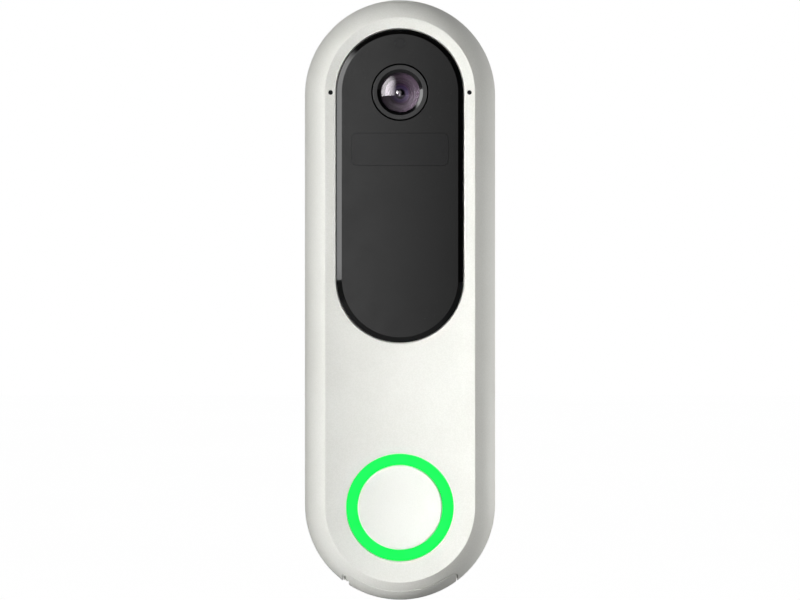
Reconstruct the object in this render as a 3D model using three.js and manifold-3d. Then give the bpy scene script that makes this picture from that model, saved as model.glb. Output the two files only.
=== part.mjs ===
// A battery video doorbell: a pill-shaped white housing that hangs on a wall bracket, with a raised
// black window for the camera, a lit ring round a push button, and a battery tray that pulls out
// of the lower end. Millimetres.
//
// Each piece is drawn in the drawing frame: x across, y up the wall, z out from the wall. The last
// group turns that frame upright, so that the finished part has +Z up and its front towards -Y.

import * as THREE from "three";
import { mergeVertices } from "three/addons/utils/BufferGeometryUtils.js";
import Module from "manifold-3d";

const wasm = await Module();
wasm.setup();

// ---------------------------------------------------------------------------
// Driving dimensions
// ---------------------------------------------------------------------------

// The pill body
const END = 52; // half the distance between the centres of the two round ends
const BODY_R = 24.2; // radius of the round ends, and half the body's width
const FACE_R = 18.8; // radius of the flat face's round ends
const FACE_Z = 27.2; // the flat face, above the wall
const RIM_LEAN = THREE.MathUtils.degToRad(38); // how far the rim tips back where it leaves the face
const BACK_Z = 3.4; // the rear housing's back, above the wall
const PART_Z = 15; // where the front cover meets the rear housing
const WALL = 2; // wall of the two housings
const FLOOR_T = 1.5; // wall of the rear housing's back
const FACE_T = 2.4; // thickness of the flat face
const SEAM = 0.25; // visible gap between two outer pieces
const GAP = 0.1; // hidden gap between two pieces that touch

// The joint between the two housings
const TONGUE_R = 21.8; // outer radius of the tongue on the rear housing
const TONGUE_IN = 20.9; // its inner radius
const TONGUE_Z = 17.2; // its top
const RIB_Z = 18.6; // underside of the front cover's rib, which presses on the seal

// The black window
const GLASS_R = 15.85;
const GLASS_LOW = 5.2; // centre of the window's lower round end; the upper one is at END
const GLASS_Z = 28; // the window's front
const GLASS_T = 2;
const GLASS_CHAMFER = 1.25; // width of its chamfer, seen from the front
const GLASS_CHAMFER_Z = 0.95; // depth of its chamfer
const WINDOW_LEDGE = 2; // how far the cover reaches in behind the window's edge
const TAPE_T = 0.4; // room for the tape that holds the window
const SEAT_Z = GLASS_Z - GLASS_T - TAPE_T; // the ledge that the window is taped to
const MOTION_Y = 37.7; // centre of the motion sensor's window
const MOTION_W = 24.2;
const MOTION_H = 8.2;
const MOTION_CORNER = 1.3;
const LIGHT_Y = 64.3; // the small window of the light sensor
const LIGHT_R = 1.25;

// The camera, centred on the upper round end
const CAMERA_HOLE_R = 7.15;
const TRIM_R = 6.85; // the trim ring
const TRIM_MOUTH_R = 5.7;
const TRIM_DEEP = 1.1; // depth of its sloping mouth
const LENS_R = 4.85;
const LENS_EDGE_Z = 26.75; // where the front lens leaves its rim
const LENS_CROWN_Z = 27.95;
const BARREL_R = 5.6;
const BARREL_Z = 13.5; // the barrel's inner end
const BARREL_TOP = 25.2;
const HOLDER_W = 7.5; // half the width of the lens holder's foot
const HOLDER_Z = 10.4; // its foot, on the camera board
const CAMERA_BOARD_W = 9;

// The microphones, level with the camera
const MIC_X = 17.4;
const MIC_R = 0.55;

// The boards
const BOARD_Z = 21; // back of the circuit boards
const BOARD_T = 1.2;
const BOARD_TOP = BOARD_Z + BOARD_T + 0.05; // where the chips sit
const BOARD_W = 17.3; // half the main board's width
const BOARD_LOW = -34; // its lower edge

// The button and its lit ring, centred on the lower round end
const RING_OUT = 13.35;
const RING_IN = 10.7;
const RING_FLANGE = 14.6; // radius of the flange that holds the ring behind the cover
const RING_FLANGE_Z = 24.5;
const RING_BACK = 22.95;
const BUTTON_R = 10.55;
const BUTTON_BACK = 24.9;
const BUTTON_DISH = 0.25; // how far the middle of the button sinks, and the round of its edge
const BUTTON_HOLLOW = 9.2; // radius of the hollow behind it
const SWITCH_W = 3; // half the width of the switch
const SWITCH_Z = 22.15;
const SWITCH_TOP = 23.9;
const STEM_R = 1.6;
const LED_CIRCLE = 12; // radius that the lights of the ring sit on
const LED_COUNT = 8;

// The battery tray, which pulls out of the lower end
const CAP_W = 14.3; // half the width of the tray's cap
const CAP_FRONT = 24.6; // its front edge, above the wall
const CAP_BACK = 8.4;
const CAP_CORNER = 2.5; // radius of its two front corners
const CAP_BACK_CORNER = 1.5;
const CAP_T = 2.2;
const NOTCH_W = 1.4; // the slot at the cap's left end that takes a fingernail
const NOTCH_Y = -71;
const PACK_W = 12.9; // half the width of the battery pack
const PACK_BACK = 9.7;
const PACK_FRONT = 19.3;
const PACK_Z = (PACK_BACK + PACK_FRONT) / 2;
const PACK_TOP = 12;
const PACK_END = -65.9;
const PACK_WALL = 1.1;
const SLEEVE_W = 14.2; // half the outer width of the sleeve that guides the pack
const SLEEVE_FRONT = 20.6;
const SLEEVE_WALL = 1;
const SLEEVE_END = -67.2;
const SLEEVE_TOP = 15;
const CONTACT_X = 6;

// The speaker, which faces the left side
const SPEAKER_X = -20.4;
const SPEAKER_T = 9;
const SPEAKER_Y = 28;
const SPEAKER_H = 21.2;
const SPEAKER_BACK = 7.6;
const SPEAKER_FRONT = 19.6;
const SLOTS = 5;
const SLOT_PITCH = 3.2;

// The wall bracket
const PLATE_R = 21.4;
const PLATE_T = 2.6;
const LIFT = 7; // how far the doorbell slides up to come off the bracket
const HOOK_X = 18.3;
const HOOK_Y = 30;
const HOOK_W = 4;
const HOOK_NECK = 3; // height of the neck that carries the housing
const HOOK_LIP = 4.5; // how far the lip reaches up behind the housing's back wall
const HOOK_Z = 6.9; // the lip's front
const LUG_Y = -60; // lower face of the lug that the security screw enters
const LUG_H = 4;
const LUG_W = 7;
const WIRE_R = 8.5; // the window that the chime's wires come through
const WIRE_Y = [22, 33];
const WALL_HOLES_Y = [58, -34];
const WALL_HOLE_R = 2.3;
const WALL_SINK_R = 4.3;

// The terminal screws, which take the wires of a wired chime
const TERMINAL_X = 5;
const TERMINAL_Y = 30;
const TERMINAL_Z = 4.3; // underside of their heads
const BLOCK_W = 9.7; // half the width of the terminal block
const BLOCK_H = 4.1;
const BLOCK_TOP = 8.8;

// Screws: radius and height of the head, radius and length of the shank
const HOUSING_SCREW = { headR: 2.1, headH: 1.5, shankR: 1.1, length: 13.5 };
const BOARD_SCREW = { headR: 1.4, headH: 0.9, shankR: 0.8, length: 3.1 };
const SECURITY_SCREW = { headR: 1.8, headH: 1.5, shankR: 1, length: 17.5 };
const TERMINAL_SCREW = { headR: 2.6, headH: 1.2, shankR: 1.3, length: 4 };
const SECURITY_Y = -73; // underside of the security screw's head
const SECURITY_Z = 5.9; // its axis, above the wall
const HOUSING_SCREW_Z = BACK_Z + 2.1; // underside of the housing screws' heads
const HOUSING_SCREWS = [
  { x: -16.2, y: 59.8, where: "upper_left" },
  { x: 16.2, y: 59.8, where: "upper_right" },
  { x: -17.3, y: -57, where: "lower_left" },
  { x: 17.3, y: -57, where: "lower_right" },
];
const BOARD_SCREWS = [
  { x: -15.9, y: 24, where: "upper_left" },
  { x: 15.9, y: 24, where: "upper_right" },
  { x: -15.9, y: -26, where: "lower_left" },
  { x: 15.9, y: -26, where: "lower_right" },
];
const SIDES = [
  { side: "left", sign: -1 },
  { side: "right", sign: 1 },
];

// ---------------------------------------------------------------------------
// Finishes
// ---------------------------------------------------------------------------

const finish = (color, roughness, metalness = 0) =>
  new THREE.MeshStandardMaterial({ color, roughness, metalness });

const WHITE = finish(0xe9e9e4, 0.45);
const BUTTON_WHITE = finish(0xf4f5ef, 0.4);
const GREY = finish(0x8d8f8e, 0.6);
const BLACK_GLASS = finish(0x121212, 0.08);
const BLACK_PLASTIC = finish(0x141414, 0.5);
const LENS_GLASS = finish(0x2b2530, 0.02);
const GREEN_LIGHT = finish(0x21ff63, 0.4);
const CIRCUIT = finish(0x1c4a34, 0.55);
const CHIP = finish(0x1b1c1e, 0.5);
const STEEL = finish(0xb9bcc0, 0.3, 1);
const GOLD = finish(0xd6b25a, 0.3, 1);
const RUBBER = finish(0x2c2d2f, 0.85);
const CELL_WRAP = finish(0x2a5c9a, 0.45);
const CONE = finish(0x26282b, 0.75);

// ---------------------------------------------------------------------------
// Geometry helpers. Those that make a shape return a manifold-3d solid.
// ---------------------------------------------------------------------------

function solid(geometry) {
  const bare = geometry.index ? geometry.toNonIndexed() : geometry.clone();
  for (const name of Object.keys(bare.attributes)) {
    if (name !== "position") bare.deleteAttribute(name);
  }
  const merged = mergeVertices(bare, 1e-4);
  const vertProperties = merged.attributes.position.array;
  const triVerts = new Uint32Array(merged.index.array);
  const made = new wasm.Manifold(new wasm.Mesh({ numProp: 3, vertProperties, triVerts }));
  if (made.volume() > 0) return made;
  triVerts.reverse(); // drawn inside out, so every face is turned round
  return new wasm.Manifold(new wasm.Mesh({ numProp: 3, vertProperties, triVerts }));
}

function geometryOf(made) {
  const { vertProperties, triVerts } = made.getMesh();
  const geometry = new THREE.BufferGeometry();
  geometry.setAttribute("position", new THREE.BufferAttribute(vertProperties, 3));
  geometry.setIndex(new THREE.BufferAttribute(triVerts, 1));
  geometry.computeVertexNormals();
  return geometry;
}

const join = (first, ...others) => others.reduce((a, b) => a.add(b), first);
const cut = (first, ...others) => others.reduce((a, b) => a.subtract(b), first);

// Outlines

function stadium(radius, high = END, low = -END) {
  const shape = new THREE.Shape();
  shape.absarc(0, high, radius, 0, Math.PI, false);
  shape.absarc(0, low, radius, Math.PI, 2 * Math.PI, false);
  return shape;
}

// corner is the radius of the corners at y0, and far that of the corners at y1
function roundedBox(x0, x1, y0, y1, corner, far = corner) {
  const shape = new THREE.Shape();
  const quarter = Math.PI / 2;
  shape.absarc(x1 - corner, y0 + corner, corner, -quarter, 0, false);
  shape.absarc(x1 - far, y1 - far, far, 0, quarter, false);
  shape.absarc(x0 + far, y1 - far, far, quarter, 2 * quarter, false);
  shape.absarc(x0 + corner, y0 + corner, corner, 2 * quarter, 3 * quarter, false);
  return shape;
}

const centredBox = (halfW, halfH, corner) => roundedBox(-halfW, halfW, -halfH, halfH, corner);

function disc(radius, x = 0, y = 0) {
  const shape = new THREE.Shape();
  shape.absarc(x, y, radius, 0, 2 * Math.PI, false);
  return shape;
}

// An outline extruded out from the wall
function slab(shape, z0, z1, curveSegments = 6) {
  const depth = z1 - z0;
  const geometry = new THREE.ExtrudeGeometry(shape, { depth, bevelEnabled: false, curveSegments });
  return solid(geometry.translate(0, 0, z0));
}

// An outline drawn in x and z, extruded up the wall
function column(shape, y0, y1, curveSegments = 2) {
  const depth = y1 - y0;
  const geometry = new THREE.ExtrudeGeometry(shape, { depth, bevelEnabled: false, curveSegments });
  return solid(geometry.translate(0, 0, -y1).rotateX(Math.PI / 2));
}

// An outline drawn in -z and y, extruded across
function beam(shape, x0, x1, curveSegments = 2) {
  const depth = x1 - x0;
  const geometry = new THREE.ExtrudeGeometry(shape, { depth, bevelEnabled: false, curveSegments });
  return solid(geometry.translate(0, 0, x0).rotateY(Math.PI / 2));
}

function box(x0, x1, y0, y1, z0, z1) {
  const geometry = new THREE.BoxGeometry(x1 - x0, y1 - y0, z1 - z0);
  return solid(geometry.translate((x0 + x1) / 2, (y0 + y1) / 2, (z0 + z1) / 2));
}

function rod(radius, z0, z1, { x = 0, y = 0, sides = 12 } = {}) {
  const geometry = new THREE.CylinderGeometry(radius, radius, z1 - z0, sides);
  return solid(geometry.rotateX(Math.PI / 2).translate(x, y, (z0 + z1) / 2));
}

// A turned piece about an axis out from the wall. profile holds [radius, z] pairs, which run from
// the axis to the axis or come back to where they start.
function turned(profile, sides = 24) {
  const points = profile.map(([r, z]) => new THREE.Vector2(r, z));
  return solid(new THREE.LatheGeometry(points, sides).rotateX(Math.PI / 2));
}

// A band between two stadiums
function band(outer, inner, z0, z1, high = END, low = -END) {
  const over = 1;
  return cut(
    slab(stadium(outer, high, low), z0, z1),
    slab(stadium(inner, high, low), z0 - over, z1 + over),
  );
}

// Stadiums of the given [radius, z], stacked and skinned into one closed solid
function stackStadiums(stations, high = END, low = -END) {
  const outlines = stations.map(([radius]) => stadium(radius, high, low).getPoints(7));
  const count = outlines[0].length;
  const position = [];
  const index = [];
  outlines.forEach((outline, s) => {
    for (const point of outline) position.push(point.x, point.y, stations[s][1]);
  });
  for (let s = 0; s + 1 < stations.length; s++) {
    for (let i = 0; i < count; i++) {
      const a = s * count + i;
      const b = s * count + ((i + 1) % count);
      index.push(a, b, b + count, a, b + count, a + count);
    }
  }
  const top = (stations.length - 1) * count;
  for (const [a, b, c] of THREE.ShapeUtils.triangulateShape(outlines[0], [])) {
    index.push(a, c, b, top + a, top + b, top + c);
  }
  const geometry = new THREE.BufferGeometry();
  geometry.setAttribute("position", new THREE.Float32BufferAttribute(position, 3));
  geometry.setIndex(index);
  return solid(geometry);
}

// ---------------------------------------------------------------------------
// The pill body's own form
// ---------------------------------------------------------------------------

// Seen in section the rim is one arc: it leaves the face leaning back by RIM_LEAN and ends upright.
const RIM_R = (BODY_R - FACE_R) / (1 - Math.sin(RIM_LEAN));
const RIM_Z = FACE_Z - RIM_R * Math.cos(RIM_LEAN); // height of that arc's centre
const RIM_STEPS = 5;

// The body's outer form, moved in by inset, between two heights
function body(inset, z0, z1) {
  const arcR = RIM_R - inset;
  const angleAt = (z) => Math.asin(THREE.MathUtils.clamp((z - RIM_Z) / arcR, 0, 1));
  const radiusAt = (z) => BODY_R - RIM_R + arcR * Math.cos(angleAt(z));
  const low = angleAt(z0);
  const high = angleAt(z1);
  const heights = [z0];
  if (high > low) {
    for (let i = z0 < RIM_Z ? 0 : 1; i < RIM_STEPS; i++) {
      heights.push(RIM_Z + arcR * Math.sin(low + ((high - low) * i) / RIM_STEPS));
    }
  }
  heights.push(z1);
  return stackStadiums(heights.map((z) => [radiusAt(z), z]));
}

// The tray's cap seen from below, grown on every side, as a column through the lower end
function capColumn(grow) {
  const outline = roundedBox(
    -CAP_W - grow,
    CAP_W + grow,
    CAP_BACK - grow,
    CAP_FRONT + grow,
    CAP_BACK_CORNER,
    CAP_CORNER + grow,
  );
  return column(outline, -BODY_R - END - 2, -60, 3);
}

// The slot at the cap's left end, open to the front, the back and the seam beside it
const pryNotch = () =>
  box(-CAP_W - SEAM / 2, -CAP_W + NOTCH_W, -BODY_R - END - 1, NOTCH_Y, 0, 22);

// ---------------------------------------------------------------------------
// The two housings and their seal
// ---------------------------------------------------------------------------

// A cross-head screw: its head below z = 0 and its shank above
function crossHeadScrew({ headR, headH, shankR, length }) {
  const form = turned(
    [
      [0, -headH],
      [headR * 0.8, -headH],
      [headR, -headH * 0.6],
      [headR, 0],
      [shankR, 0],
      [shankR, length - shankR],
      [0, length],
    ],
    10,
  );
  const arm = headR * 0.62;
  const blade = headR * 0.14;
  const deep = -headH * 0.45;
  return cut(
    form,
    box(-arm, arm, -blade, blade, -headH - 1, deep),
    box(-blade, blade, -arm, arm, -headH - 1, deep),
  );
}

function frontCover() {
  const inner = FACE_Z - FACE_T;
  const postTop = inner + 0.5;
  const shell = cut(body(0, PART_Z + SEAM / 2, FACE_Z), body(WALL, PART_Z - 1, inner));
  const rib = band(22.2, 20.6, RIB_Z, RIB_Z + 1);
  const posts = HOUSING_SCREWS.map(({ x, y }) => rod(2.3, PART_Z + 0.3, postTop, { x, y }));
  const boardPosts = BOARD_SCREWS.map(({ x, y }) =>
    rod(1.6, BOARD_Z + BOARD_T + GAP, postTop, { x, y, sides: 10 }),
  );
  const over = FACE_Z + 1;
  return cut(
    join(shell, rib, ...posts, ...boardPosts),
    slab(stadium(GLASS_R + SEAM, END, GLASS_LOW), SEAT_Z, over),
    slab(stadium(GLASS_R - WINDOW_LEDGE, END, GLASS_LOW), BOARD_Z, over),
    rod(RING_OUT + 0.15, BOARD_Z, over, { y: -END, sides: 36 }),
    ...SIDES.map(({ sign }) => rod(MIC_R, BOARD_Z, over, { x: sign * MIC_X, y: END })),
    ...HOUSING_SCREWS.map(({ x, y }) => rod(1.3, PART_Z, 20.5, { x, y, sides: 10 })),
    ...BOARD_SCREWS.map(({ x, y }) => rod(0.9, BOARD_Z, 24.4, { x, y, sides: 8 })),
    capColumn(SEAM),
  );
}

// The slots that the bracket's hooks enter, with the room to slide up
function hookSlots() {
  const half = HOOK_W / 2 + 0.5;
  return [-HOOK_X, HOOK_X].flatMap((x) =>
    [-HOOK_Y, HOOK_Y].map((y) =>
      box(x - half, x + half, y - LIFT - 0.5, y + HOOK_NECK + 0.3, 2, 6),
    ),
  );
}

function speakerSlots() {
  const slots = [];
  for (let i = 0; i < SLOTS; i++) {
    const y = SPEAKER_Y + (i - (SLOTS - 1) / 2) * SLOT_PITCH;
    slots.push(beam(roundedBox(-13.6, -6.8, y - 0.6, y + 0.6, 0.55), -26, -21, 1));
  }
  return slots;
}

function rearHousing() {
  const top = PART_Z - SEAM / 2;
  const floorZ = BACK_Z + FLOOR_T;
  const tub = cut(body(0, BACK_Z, top), body(WALL, floorZ, top + 1));
  const tongue = band(TONGUE_R, TONGUE_IN, 12.4, TONGUE_Z);
  const tongueRoot = band(22.6, TONGUE_IN, 12.4, 14);
  const bosses = HOUSING_SCREWS.map(({ x, y }) => rod(2.7, floorZ - 0.5, PART_Z, { x, y }));
  const securityBoss = box(-3.6, 3.6, -75.2, -68.4, BACK_Z + 0.2, CAP_BACK - SEAM);
  const terminalBoss = box(-11, 11, 24.6, 35.4, BACK_Z + 0.5, 9.6);
  const lugRoom = LUG_W / 2 + 0.6;
  return cut(
    join(tub, tongue, tongueRoot, ...bosses, securityBoss, terminalBoss),
    ...hookSlots(),
    ...speakerSlots(),
    // where the bracket's lug reaches in
    box(-lugRoom, lugRoom, LUG_Y - LIFT - 0.4, LUG_Y + LUG_H + 0.4, 2, 6),
    // the security screw's hole, and the pocket for its head
    column(disc(SECURITY_SCREW.shankR + 0.25, 0, SECURITY_Z), -80, -60, 5),
    column(disc(SECURITY_SCREW.headR + 0.2, 0, SECURITY_Z), -80, SECURITY_Y + GAP, 6),
    // holes for the housing screws, and pockets for their heads
    ...HOUSING_SCREWS.map(({ x, y }) => rod(1.3, 2, 18, { x, y, sides: 10 })),
    ...HOUSING_SCREWS.map(({ x, y }) => rod(2.4, 2, HOUSING_SCREW_Z + GAP, { x, y })),
    // the pocket for the terminal block
    slab(roundedBox(-10, 10, 25.6, 34.4, 0.8), 2, 9, 1),
    capColumn(SEAM),
    pryNotch(),
  );
}

const housingSeal = () =>
  cut(band(21.6, TONGUE_IN, TONGUE_Z + GAP, RIB_Z - GAP), capColumn(SEAM));

// ---------------------------------------------------------------------------
// The black window
// ---------------------------------------------------------------------------

const motionOutline = (inset) =>
  centredBox(MOTION_W / 2 - inset, MOTION_H / 2 - inset, MOTION_CORNER - inset);

function windowGlass() {
  const panel = stackStadiums(
    [
      [GLASS_R, GLASS_Z - GLASS_T],
      [GLASS_R, GLASS_Z - GLASS_CHAMFER_Z],
      [GLASS_R - GLASS_CHAMFER, GLASS_Z],
    ],
    END,
    GLASS_LOW,
  );
  const back = GLASS_Z - GLASS_T - 1;
  const front = GLASS_Z + 1;
  return cut(
    panel,
    rod(CAMERA_HOLE_R, back, front, { y: END, sides: 24 }),
    slab(motionOutline(0), back, front, 2).translate(0, MOTION_Y, 0),
    rod(LIGHT_R + GAP, back, front, { y: LIGHT_Y }),
  );
}

const motionWindow = () => slab(motionOutline(GAP), GLASS_Z - GLASS_T, GLASS_Z, 2);

const windowTape = () =>
  band(
    GLASS_R - 0.2,
    GLASS_R - WINDOW_LEDGE + 0.3,
    SEAT_Z + 0.05,
    GLASS_Z - GLASS_T - 0.05,
    END,
    GLASS_LOW,
  );

// ---------------------------------------------------------------------------
// The camera, drawn about the lens axis
// ---------------------------------------------------------------------------

function cameraTrim() {
  const back = 25.5;
  const ledge = 26.3;
  return turned([
    [5.75, back],
    [TRIM_R, back],
    [TRIM_R, GLASS_Z],
    [TRIM_MOUTH_R, GLASS_Z],
    [LENS_R + 0.15, GLASS_Z - TRIM_DEEP],
    [LENS_R + 0.15, ledge],
    [5.75, ledge],
    [5.75, back],
  ]);
}

function frontLens() {
  const foot = 4.2;
  const footZ = 25.4;
  const profile = [
    [0, footZ],
    [foot, footZ],
    [foot, footZ + 0.3],
    [LENS_R, footZ + 0.8],
    [LENS_R, LENS_EDGE_Z],
  ];
  const steps = 4;
  for (let i = 1; i < steps; i++) {
    const angle = (i / steps) * (Math.PI / 2);
    const rise = (LENS_CROWN_Z - LENS_EDGE_Z) * Math.sin(angle);
    profile.push([LENS_R * Math.cos(angle), LENS_EDGE_Z + rise]);
  }
  profile.push([0, LENS_CROWN_Z]);
  return turned(profile);
}

function lensBarrel() {
  const bore = 3;
  const mouth = 4.35;
  return turned([
    [bore, BARREL_Z],
    [BARREL_R - 0.2, BARREL_Z],
    [BARREL_R - 0.2, 22.4],
    [BARREL_R, 22.4],
    [BARREL_R, BARREL_TOP],
    [mouth, BARREL_TOP],
    [mouth, 18],
    [bore, 17],
    [bore, BARREL_Z],
  ]);
}

const innerLens = () =>
  turned(
    [
      [0, 18.4],
      [2.2, 18.6],
      [4.2, 19.4],
      [4.2, 20.8],
      [2.2, 21.8],
      [0, 22.1],
    ],
    16,
  );

function lensHolder() {
  const collar = rod(BARREL_R + 1.5, 14, 20.6, { sides: 24 });
  const sensorRoom = 5;
  return cut(
    join(slab(centredBox(HOLDER_W, HOLDER_W, 1), HOLDER_Z, 14.4, 1), collar),
    rod(BARREL_R, 13.3, 22, { sides: 24 }),
    box(-sensorRoom, sensorRoom, -sensorRoom, sensorRoom, 10, 13.4),
  );
}

const cameraBoard = () => slab(centredBox(CAMERA_BOARD_W, CAMERA_BOARD_W, 1), 9.2, 10.3, 1);

const imageSensor = () => box(-3.6, 3.6, -3, 3, HOLDER_Z, 11.5);

// ---------------------------------------------------------------------------
// The main board and what sits on it, drawn from the board's face up
// ---------------------------------------------------------------------------

function mainBoard() {
  const outline = new THREE.Shape();
  outline.moveTo(BOARD_W, BOARD_LOW);
  outline.absarc(0, END, BOARD_W, 0, Math.PI, false);
  outline.lineTo(-BOARD_W, BOARD_LOW);
  return cut(
    slab(outline, 0, BOARD_T),
    rod(7.9, -1, 2, { y: END, sides: 24 }),
    ...BOARD_SCREWS.map(({ x, y }) => rod(1.05, -1, 2, { x, y })),
    ...HOUSING_SCREWS.map(({ x, y }) => rod(2.6, -1, 2, { x, y, sides: 20 })),
  );
}

const processorShield = () =>
  join(
    slab(centredBox(9, 7, 0.8), 0, 1.5, 1),
    slab(centredBox(8.4, 6.4, 0.6), 1.4, 1.7, 1),
  );

const wifiAntenna = () => slab(centredBox(9, 2.5, 0.6), 0, 0.8, 1);

// A metal can on a flange, with a chamfered front
const motionSensor = () =>
  turned(
    [
      [0, 0],
      [4.6, 0],
      [4.6, 0.4],
      [4.1, 0.4],
      [4.1, 2.9],
      [3.7, 3.2],
      [0, 3.2],
    ],
    16,
  );

const infraredLed = () =>
  turned(
    [
      [0, 0],
      [1.7, 0],
      [1.7, 1.4],
      [1.1, 2.3],
      [0, 2.6],
    ],
    16,
  );

// A soft block with the sound channel through it, off centre by channelX
const microphoneSeal = (channelX) =>
  cut(box(-1.7, 1.7, -1.6, 1.6, 1.1, 2.4), rod(0.5, 1, 3, { x: channelX }));

// ---------------------------------------------------------------------------
// The button and its ring, drawn about the button's axis
// ---------------------------------------------------------------------------

const lightRing = () =>
  turned(
    [
      [RING_IN, RING_BACK],
      [RING_FLANGE, RING_BACK],
      [RING_FLANGE, RING_FLANGE_Z],
      [RING_OUT, RING_FLANGE_Z],
      [RING_OUT, FACE_Z],
      [RING_IN, FACE_Z],
      [RING_IN, RING_BACK],
    ],
    36,
  );

const buttonCap = () =>
  turned(
    [
      [0, BUTTON_BACK + 0.7],
      [BUTTON_HOLLOW, BUTTON_BACK + 0.7],
      [BUTTON_HOLLOW, BUTTON_BACK],
      [BUTTON_R, BUTTON_BACK],
      [BUTTON_R, FACE_Z - BUTTON_DISH],
      [BUTTON_R - BUTTON_DISH, FACE_Z],
      [6, FACE_Z - BUTTON_DISH * 0.6],
      [0, FACE_Z - BUTTON_DISH],
    ],
    36,
  );

const buttonCarrier = () =>
  join(
    rod(BUTTON_HOLLOW - 0.2, BUTTON_BACK + GAP, BUTTON_BACK + 0.6, { sides: 24 }),
    rod(2.4, BUTTON_BACK + 0.05, BUTTON_BACK + 0.3),
  );

const switchStem = () => rod(STEM_R, SWITCH_TOP - 0.6, BUTTON_BACK - 0.05);

const buttonSwitch = () =>
  cut(
    box(-SWITCH_W, SWITCH_W, -SWITCH_W, SWITCH_W, SWITCH_Z, SWITCH_TOP),
    rod(STEM_R + 0.15, SWITCH_Z + 0.25, SWITCH_TOP + 1),
  );

function buttonSeal() {
  const inner = 5;
  const outer = 9.7;
  return turned([
    [inner, 22.2],
    [outer, 22.2],
    [outer, 22.7],
    [inner, 22.7],
    [inner, 22.2],
  ]);
}

function buttonBoard() {
  const face = BOARD_Z + BOARD_T - GAP;
  const half = 0.8;
  const lights = [];
  for (let i = 0; i < LED_COUNT; i++) {
    const angle = ((i + 0.5) * 2 * Math.PI) / LED_COUNT;
    const x = LED_CIRCLE * Math.cos(angle);
    const y = LED_CIRCLE * Math.sin(angle);
    lights.push(box(x - half, x + half, y - half, y + half, face - 0.2, face + 0.65));
  }
  return join(rod(14.2, BOARD_Z - GAP, face, { sides: 24 }), ...lights);
}

// ---------------------------------------------------------------------------
// The battery tray and the sleeve that guides it
// ---------------------------------------------------------------------------

const packOutline = (inset, corner = 1.6) =>
  roundedBox(-PACK_W + inset, PACK_W - inset, PACK_BACK + inset, PACK_FRONT - inset, corner);

function trayCap() {
  const panel = cut(
    body(0, BACK_Z, FACE_Z).intersect(capColumn(0)),
    body(CAP_T, 2, FACE_Z - 0.8),
  );
  const plug = column(packOutline(0.8, 1), -75.4, PACK_END - GAP, 1);
  return cut(join(panel, plug.intersect(body(1, BACK_Z, FACE_Z))), pryNotch());
}

const capSeal = () =>
  cut(
    column(packOutline(-0.2, 2.3), SLEEVE_END + 0.2, PACK_END - GAP),
    column(packOutline(0.7, 1.1), SLEEVE_END - 1, PACK_END + 1),
  );

function batteryCase() {
  return cut(
    column(packOutline(0), PACK_END, PACK_TOP),
    column(packOutline(PACK_WALL), PACK_END - 1, PACK_TOP - 1.2),
    ...SIDES.map(({ sign }) =>
      column(disc(1.7, sign * CONTACT_X, PACK_Z), PACK_TOP - 3, PACK_TOP + 2, 4),
    ),
  );
}

const batteryCell = () =>
  column(roundedBox(-11.6, 11.6, PACK_Z - 3.5, PACK_Z + 3.5, 2.2), -64.6, 5.5, 3);

const protectionBoard = () =>
  column(roundedBox(-11.2, 11.2, PACK_Z - 3.1, PACK_Z + 3.1, 0.4), 6.4, 7.6, 1);

const packContact = (x) => column(disc(1.5, x, PACK_Z), 7.8, PACK_TOP - 0.2, 5);

const springContact = (x) => column(disc(1.1, x, PACK_Z), PACK_TOP + 0.3, SLEEVE_TOP + 1.6, 5);

function batterySleeve() {
  const outline = (inset) =>
    roundedBox(-SLEEVE_W + inset, SLEEVE_W - inset, CAP_BACK + inset, SLEEVE_FRONT - inset, 2);
  return cut(
    column(outline(0), SLEEVE_END, SLEEVE_TOP),
    column(outline(SLEEVE_WALL), SLEEVE_END - 1, SLEEVE_TOP - 1.2),
    ...SIDES.map(({ sign }) =>
      column(disc(1.3, sign * CONTACT_X, PACK_Z), SLEEVE_TOP - 3, SLEEVE_TOP + 2, 4),
    ),
  );
}

// ---------------------------------------------------------------------------
// The speaker and the terminal block
// ---------------------------------------------------------------------------

const speakerOutline = (inset, corner) =>
  roundedBox(
    -SPEAKER_FRONT + inset,
    -SPEAKER_BACK - inset,
    SPEAKER_Y - SPEAKER_H / 2 + inset,
    SPEAKER_Y + SPEAKER_H / 2 - inset,
    corner,
  );

const speakerFrame = () =>
  cut(
    beam(speakerOutline(0, 3), SPEAKER_X, SPEAKER_X + SPEAKER_T),
    beam(speakerOutline(1.2, 2.4), SPEAKER_X - 1, SPEAKER_X + 1.8),
  );

const speakerCone = () => beam(speakerOutline(1.5, 2.2), SPEAKER_X + 0.5, SPEAKER_X + 1.7);

function terminalBlock() {
  const bore = TERMINAL_SCREW.shankR + 0.2;
  return cut(
    slab(centredBox(BLOCK_W, BLOCK_H, 0.7), TERMINAL_Z + GAP, BLOCK_TOP, 1),
    ...SIDES.map(({ sign }) => rod(bore, 2, BLOCK_TOP - GAP, { x: sign * TERMINAL_X })),
    box(-0.5, 0.5, -5, 5, 3, TERMINAL_Z + 1.2), // the groove between the two screws
  );
}

// ---------------------------------------------------------------------------
// The wall bracket
// ---------------------------------------------------------------------------

function hook(x, y) {
  const left = x - HOOK_W / 2;
  const right = x + HOOK_W / 2;
  return join(
    box(left, right, y, y + HOOK_NECK, PLATE_T - 0.5, HOOK_Z),
    box(left, right, y, y + HOOK_NECK + HOOK_LIP, BACK_Z + FLOOR_T + 0.3, HOOK_Z),
  );
}

// A countersunk hole for a wall screw
function wallHole(y) {
  const sink = turned(
    [
      [0, 0.8],
      [WALL_HOLE_R, 0.8],
      [WALL_SINK_R, PLATE_T + 0.01],
      [WALL_SINK_R, 4],
      [0, 4],
    ],
    12,
  );
  return join(rod(WALL_HOLE_R, -1, 5), sink).translate(0, y, 0);
}

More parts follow.
